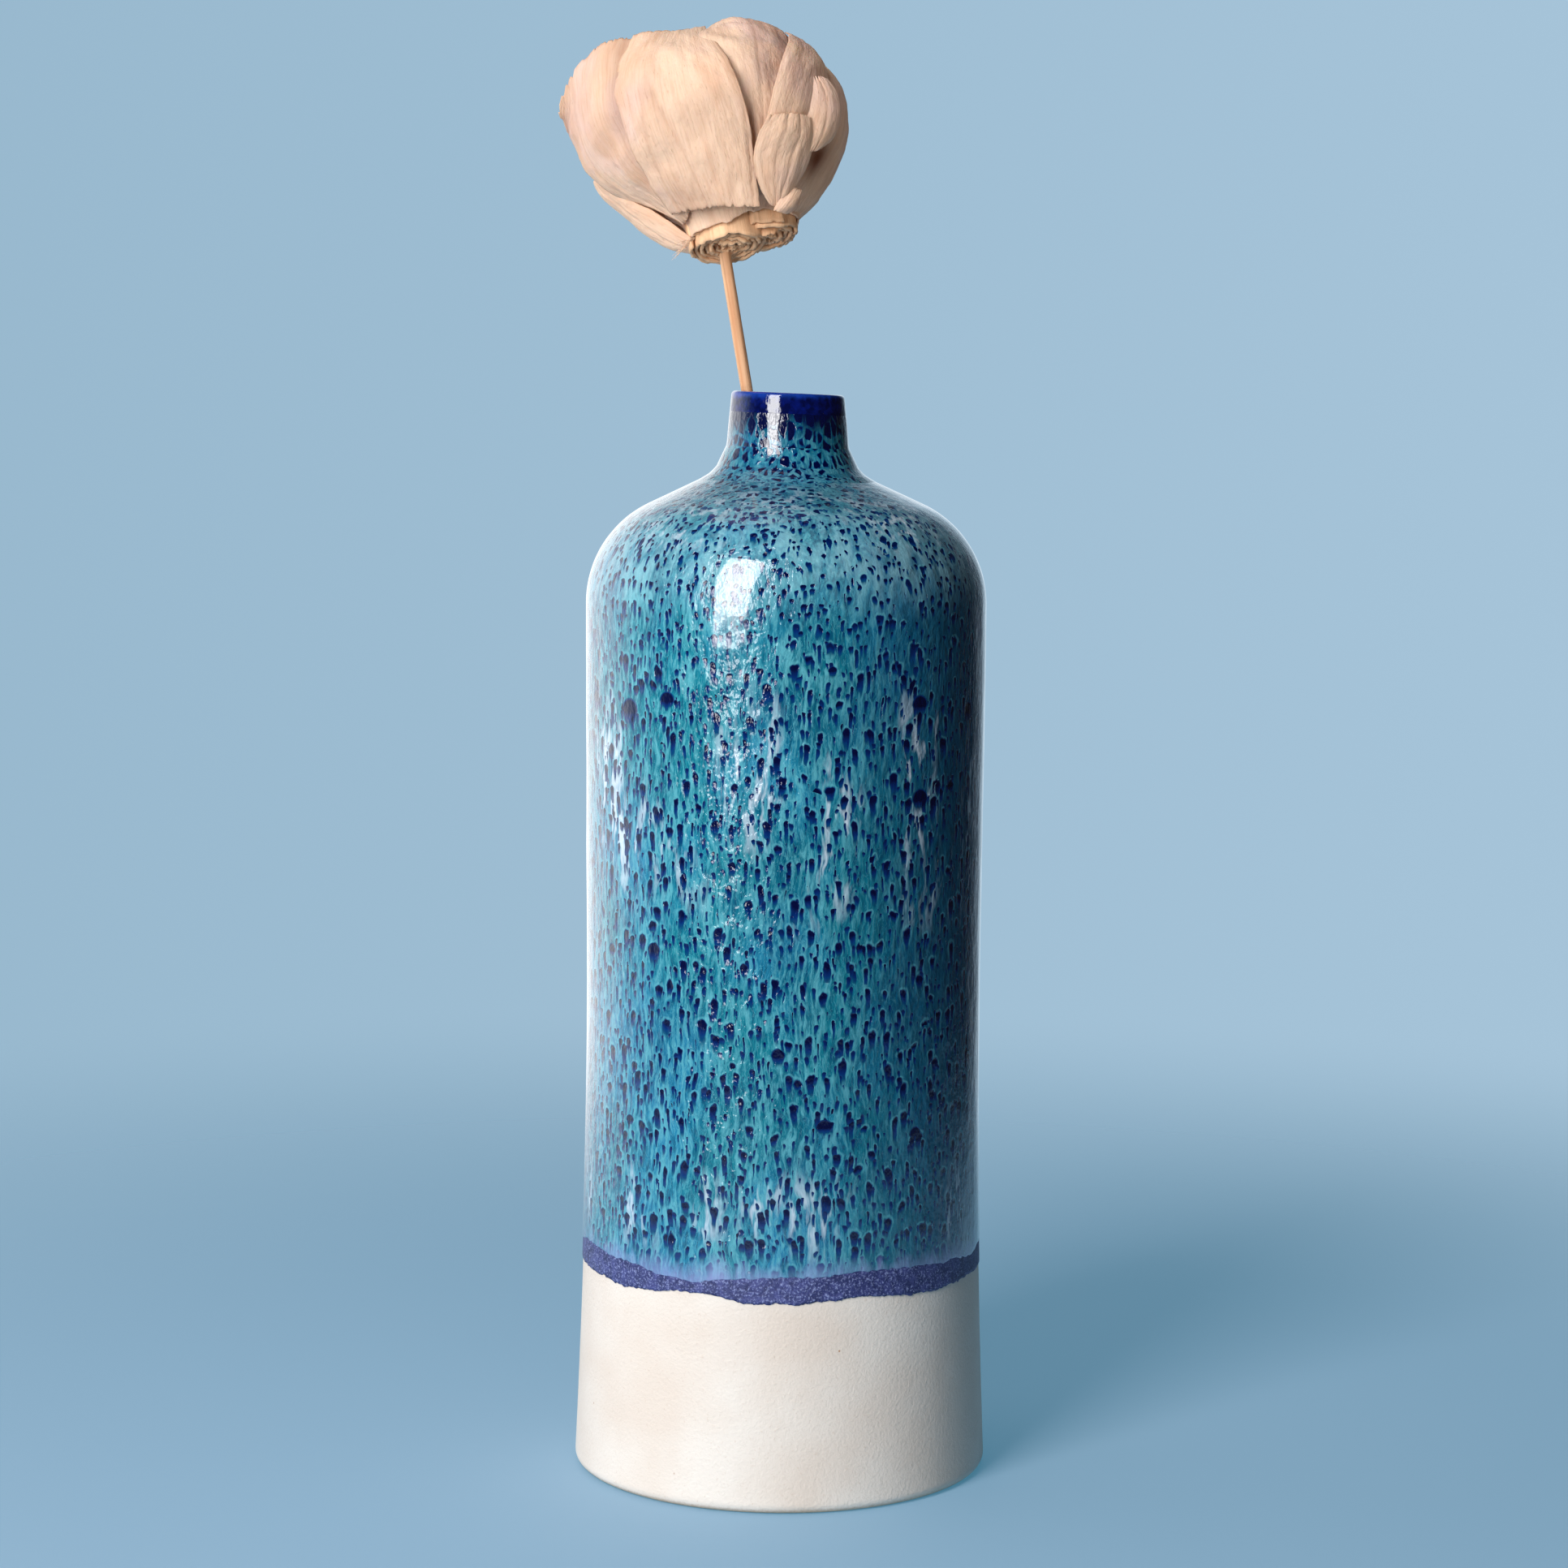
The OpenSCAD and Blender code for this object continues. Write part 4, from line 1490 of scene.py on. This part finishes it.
@dataclass
class RootWrap:
    """The smooth shaving wrapped round the two lobes of the root, up to the foot of the petals."""

    head: Head
    lobes: Sequence[RolledRoot]
    foot: float = 1.5
    top: float = 9.5
    seed: float = 30.0
    thickness: float = 0.4
    gap: float = 0.35

    def rim(self, angle: float) -> float:
        """Distance from the head's axis to the outside of the lobes in a direction."""
        far = 0.0
        x, y = math.cos(angle), math.sin(angle)
        for lobe in self.lobes:
            wide, deep = lobe.radius, lobe.radius * lobe.squash
            a = (x / wide) ** 2 + (y / deep) ** 2
            b = -2 * (x * lobe.x / wide ** 2 + y * lobe.y / deep ** 2)
            c = (lobe.x / wide) ** 2 + (lobe.y / deep) ** 2 - 1
            far = max(far, (-b + math.sqrt(max(0.0, b * b - 4 * a * c))) / (2 * a))
        return far

    def sheet(self) -> Sheet:
        """The wrap as a sheet in the head's frame."""
        u, v = sheet_places(26, 220)
        angle = np.radians(-265 + 356 * u)
        ragged = wander(triple(np.cos(angle) * 3, np.sin(angle) * 3, 0.0), 1.0, self.seed, 3)
        bare = unit((np.cos(angle + math.radians(35)) - 0.35) / 0.4)
        low = self.foot + 0.35 * ragged + 1.6 * bare
        height = low + (self.top - low) * v
        inner = np.vectorize(self.rim)(angle) + self.gap
        outer = self.head.radius(height) - 0.8
        share = unit((height - 1.0) / (self.top - 1.0)) ** 0.8
        pleat = 0.22 * wander(triple(np.cos(angle) * 6, np.sin(angle) * 6, height * 0.08), 1.0, self.seed + 3.0)
        r = inner + (outer - inner) * share + pleat
        points = triple(r * np.cos(angle), r * np.sin(angle), height)
        return Sheet("root_wrap_shaving", points, self.thickness, triple(angle * 9.0, height, self.seed),
                     triple(0.0 * u, unit(ragged) * (v < 0.1), v))


# each petal's shade patches are painted shade: darker in its folds, by its root and in gaps under other petals
PETALS = (
    Petal.plain("inner_petal_front", -90, 58, 10, 41.5, -3.2, shade=True, seed=1.3),
    Petal.plain("inner_petal_right", 30, 62, 10, 41.5, -3.4, shade=True, seed=2.1),
    Petal.plain("inner_petal_left", 150, 62, 10, 41.5, -3.6, shade=True, seed=3.7),
    Petal.plain("rear_petal_right", 52, 46, 7, 42.6, -1.6, 1.2, seed=4.9, edge_curl=0.5),
    Petal.plain("rear_petal_left", 166, 44, 7, 42.6, -1.6, 1.4, seed=5.3, edge_curl=0.5),
    Petal.plain("rear_petal_middle", 110, 46, 6, 43.4, -0.2, 1.6, seed=6.1, edge_curl=0.5),
    Petal("second_petal",
          ((-84, 6, -0.6), (-92, 16, -0.8), (-99, 26, -0.8), (-99, 33, -0.4), (-95, 39.6, 0.0)),
          ((-64, 6, -0.6), (-68, 15, -1.0), (-72, 24, -0.6), (-72, 30.5, 0.9), (-71, 35.4, 1.9)),
          ((-44, 6, -1.2), (-46, 14, -1.6), (-48, 22, -1.5), (-46, 28.5, -0.6), (-42, 33.5, 0.8)),
          tip_round=0.03, seed=7.7, ragged=0.2, ripple=0.8,
          shade_patches=((0.2, 0.72, 0.16, 0.35, 0.30), (0.75, 0.8, 0.2, 0.3, 0.4))),
    Petal("wing_petal",
          ((-176, 5.3, -0.6), (-184, 12.6, 1.6), (-184.5, 19.4, 4.3), (-177, 24.0, 5.8), (-165, 26.3, 8.9)),
          ((-158, 4.0, 0.0), (-162, 12.5, 0.7), (-158, 20.0, 1.8), (-152, 26.6, 4.4), (-147, 31.7, 7.8)),
          ((-140, 5.0, 0.0), (-134, 13.0, 0.0), (-129, 21.0, 0.2), (-128, 27.6, 1.6), (-127, 32.4, 3.9)),
          tip_round=-0.02, seed=8.5, crease=0.16, ripple=0.6, ragged=0.5,
          shade_patches=((0.62, 0.75, 0.22, 0.5, 0.34), (0.55, 0.12, 0.5, 0.14, 0.30))),
    Petal("front_petal",
          ((-158, 6.2, 1.2), (-148, 13.0, 1.6), (-140, 20.0, 2.0), (-138, 27.4, 2.9), (-130, 32.9, 4.6)),
          ((-112, 3.4, 1.1), (-110, 12.0, 1.3), (-109, 21.0, 1.3), (-110, 29.0, 1.3), (-112, 35.6, 1.5)),
          ((-70, 2.3, 1.1), (-74, 9.5, 1.0), (-79, 18.0, 1.0), (-86, 27.6, 0.9), (-95, 39.8, 0.2)),
          tip_round=0.0, seed=9.1, crease=0.12, ripple=0.55, ragged=0.3, columns=84,
          shade_patches=((-0.35, 0.62, 0.14, 0.25, 0.12), (-0.5, 0.06, 0.6, 0.10, 0.22))),
    Petal("right_petal",
          ((-38, 3.4, -0.8), (-35, 9, -0.6), (-31, 15, -1.0), (-27, 23, -1.4), (-22, 30, -1.0)),
          ((-6, 3.0, -0.6), (-4, 9, 0.9), (-2, 17, 0.6), (-2, 25, 0.0), (-4, 32.4, 0.2)),
          ((30, 4.0, -0.4), (34, 10, 1.2), (35, 18, 0.8), (31, 27, 0.6), (22, 35, 0.8)),
          seed=10.9, ragged=0.4, shade_patches=((-0.60, 0.35, 0.34, 0.12, 0.95), (-0.9, 0.8, 0.3, 0.3, 0.4))),
    Petal("folded_petal",
          ((-70, 12.5, 1.2), (-67, 18, 2.0), (-61, 24, 2.3), (-52, 29, 1.9), (-43, 33.5, 1.2)),
          ((-50, 11.0, 1.3), (-48, 17, 1.8), (-44, 23, 1.7), (-38, 28, 1.1), (-33, 31.6, 0.8)),
          ((-18, 10.0, -1.4), (-20, 16, -1.6), (-22, 22, -1.4), (-22, 27, -0.8), (-24, 30.6, 0.2)),
          tip_round=0.1, seed=11.3, ripple=0.3, shade_patches=((-0.55, 0.6, 0.16, 0.6, 0.22),)),
    Petal("lower_right_petal",
          ((-60, 2.8, 0.9), (-70, 5.4, 1.2), (-75.5, 9.2, 1.7), (-74, 12.6, 2.4), (-69, 15.8, 2.8)),
          ((-52, 2.4, 1.8), (-54, 6.2, 2.7), (-55, 10.4, 3.2), (-54, 13.6, 3.4), (-54, 16.4, 3.0)),
          ((-43, 3.2, 0.9), (-39, 6.2, 1.8), (-37, 9.6, 2.2), (-38, 12.8, 2.2), (-41, 15.9, 1.8)),
          tip_round=0.05, seed=12.7, ripple=0.25, ragged=0.25, rows=60),
    Petal("curled_petal",
          ((-45, 12.4, 2.2), (-48, 15.0, 1.6), (-47.5, 17.6, 1.2), (-46.5, 20.2, 1.2), (-46, 22.4, 0.8)),
          ((-38, 11.9, 3.2), (-35, 14.4, 3.7), (-34, 17.4, 3.6), (-36, 20.4, 3.0), (-41, 22.4, 2.4)),
          ((-26, 14.6, 2.8), (-24, 16.4, 2.2), (-25, 18.6, 1.9), (-29, 20.6, 1.8), (-35, 22.0, 1.9)),
          tip_round=0.15, root_round=0.15, seed=13.9, ripple=0.2, ragged=0.5, rows=60, columns=44),
    Petal("scale_petal",
          ((-56, 1.8, 1.6), (-55, 3.0, 2.0), (-52, 4.6, 2.0), (-48, 6.0, 1.6)),
          ((-48, 1.4, 2.0), (-46, 2.8, 3.0), (-42, 4.4, 3.2), (-38, 6.2, 2.8)),
          ((-38, 1.8, 1.6), (-35, 3.0, 2.6), (-34, 4.4, 2.6), (-35, 5.8, 2.4)),
          tip_round=0.3, seed=14.2, ripple=0.15, crease=0.1, rows=36, columns=36),
    Petal("lower_left_petal",
          ((-205, 2.0, 0.0), (-209, 6.0, 2.0), (-211, 11.0, 3.0), (-208, 17.0, 4.0), (-202, 21.6, 5.0)),
          ((-176, -0.6, 1.0), (-188, 5.0, 3.7), (-195, 11.6, 4.1), (-198, 17.6, 4.6), (-199, 21.9, 5.3)),
          ((-164, 2.0, 0.6), (-173, 7.0, 1.3), (-180, 12.2, 1.7), (-187, 17.4, 3.0), (-193, 21.4, 4.6)),
          tip_round=0.15, seed=15.6, ragged=0.3, edge_curl=-0.2, rows=70),
)


@dataclass
class Flower:
    """The shaved-wood flower: rolled root, bud and petals."""

    head: Head
    grain: Tree
    rod: RodTree

    def fibres(self, count: int = 16) -> list[list[Vector]]:
        """Lines of the loose fibres at the left of the root, in metres."""
        lines = []
        for k in range(count):
            shift = [noise.noise(Vector((k * 1.7, seed, 0.3))) for seed in (1.0, 5.0, 9.0, 13.0)]
            angle = math.radians(-165 + 34 * shift[0])
            start = Vector((-2.9 + 6.6 * math.cos(angle), 5.9 * math.sin(angle), 1.4 + shift[1]))
            away = Vector((-1.0, -0.5 + shift[2], -0.25 + 0.9 * shift[3]))
            reach = 3.2 + 2.4 * shift[2]
            lines.append([self.head.matrix @ (start + away * (reach * t) + Vector((0, 0, -1.1 * t * t)))
                          for t in (0.0, 0.25, 0.5, 0.75, 1.0)])
        return lines

    def lay(self, sheet: Sheet, wood: Material, slot: Slot, *nodes: str) -> None:
        """Makes a sheet's piece and hands it over."""
        hand_over(sheet.build(self.head.matrix, wood), Body.FLOWER, slot, *nodes)

    def build(self) -> None:
        """Makes the root, the bud and every petal."""
        petal_wood = ShavedWood(self.grain).build("shaved_wood")
        # painted shade: a darker, oranger copy of the wood for the petals inside the cup
        shade_wood = ShavedWood(self.grain, pale=srgb(222, 168, 122), warm=srgb(202, 138, 88),
                                lilac=srgb(206, 160, 130), see_through=0.2).build("shaded_shaving")
        root_wood = ShavedWood(self.grain, pale=srgb(250, 208, 168), warm=srgb(230, 174, 130),
                               lilac=srgb(236, 196, 168), brown=srgb(138, 88, 54), see_through=0.0,
                               cockle=0.0).build("cut_root")
        rolls = (RolledRoot("root_roll_left", -2.9, 0.0, -0.6, 6.5, 0.4),
                 RolledRoot("root_roll_right", 3.9, 1.2, 0.5, 5.5, 2.2, radius=6.4))
        for roll in rolls:
            self.lay(roll.sheet(), root_wood, Slot.ROOT, roll.node)
        self.lay(RootWrap(self.head, rolls).sheet(), petal_wood, Slot.PETAL)
        fibres = self.rod.sweep("frayed_root_fibres", self.fibres(), petal_wood, {
            "Radius": 0.09 * MM, "Sides": 6, "Step": 0.4 * MM, "Taper": 0.7,
        })
        hand_over(fibres, Body.FLOWER, Slot.ROOT)
        core = Petal.plain("bud_core", 20, 178, 8, 40, -6.5, suffix="roll", shade=True, columns=120, seed=20.0)
        for petal in (core, *PETALS):
            wood, slot = (shade_wood, Slot.PETAL_SHADE) if petal.shade else (petal_wood, Slot.PETAL)
            self.lay(petal.sheet(self.head), wood, slot, petal.node)


def main() -> None:
    """Builds the studio and the object, and reports each piece."""
    logging.basicConfig(level=logging.INFO, format="%(name)s: %(message)s")
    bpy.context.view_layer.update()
    Studio().build()
    Vase(BottleShape(), LatheTree(), flow_spots(), flow_streaks()).build()
    rod, grain = RodTree(), wood_grain()
    stick = Stick(rod)
    stick.build(grain)
    Flower(Head(stick.point(stick.entry_z)), grain, rod).build()


if __name__ == "__main__":
    main()
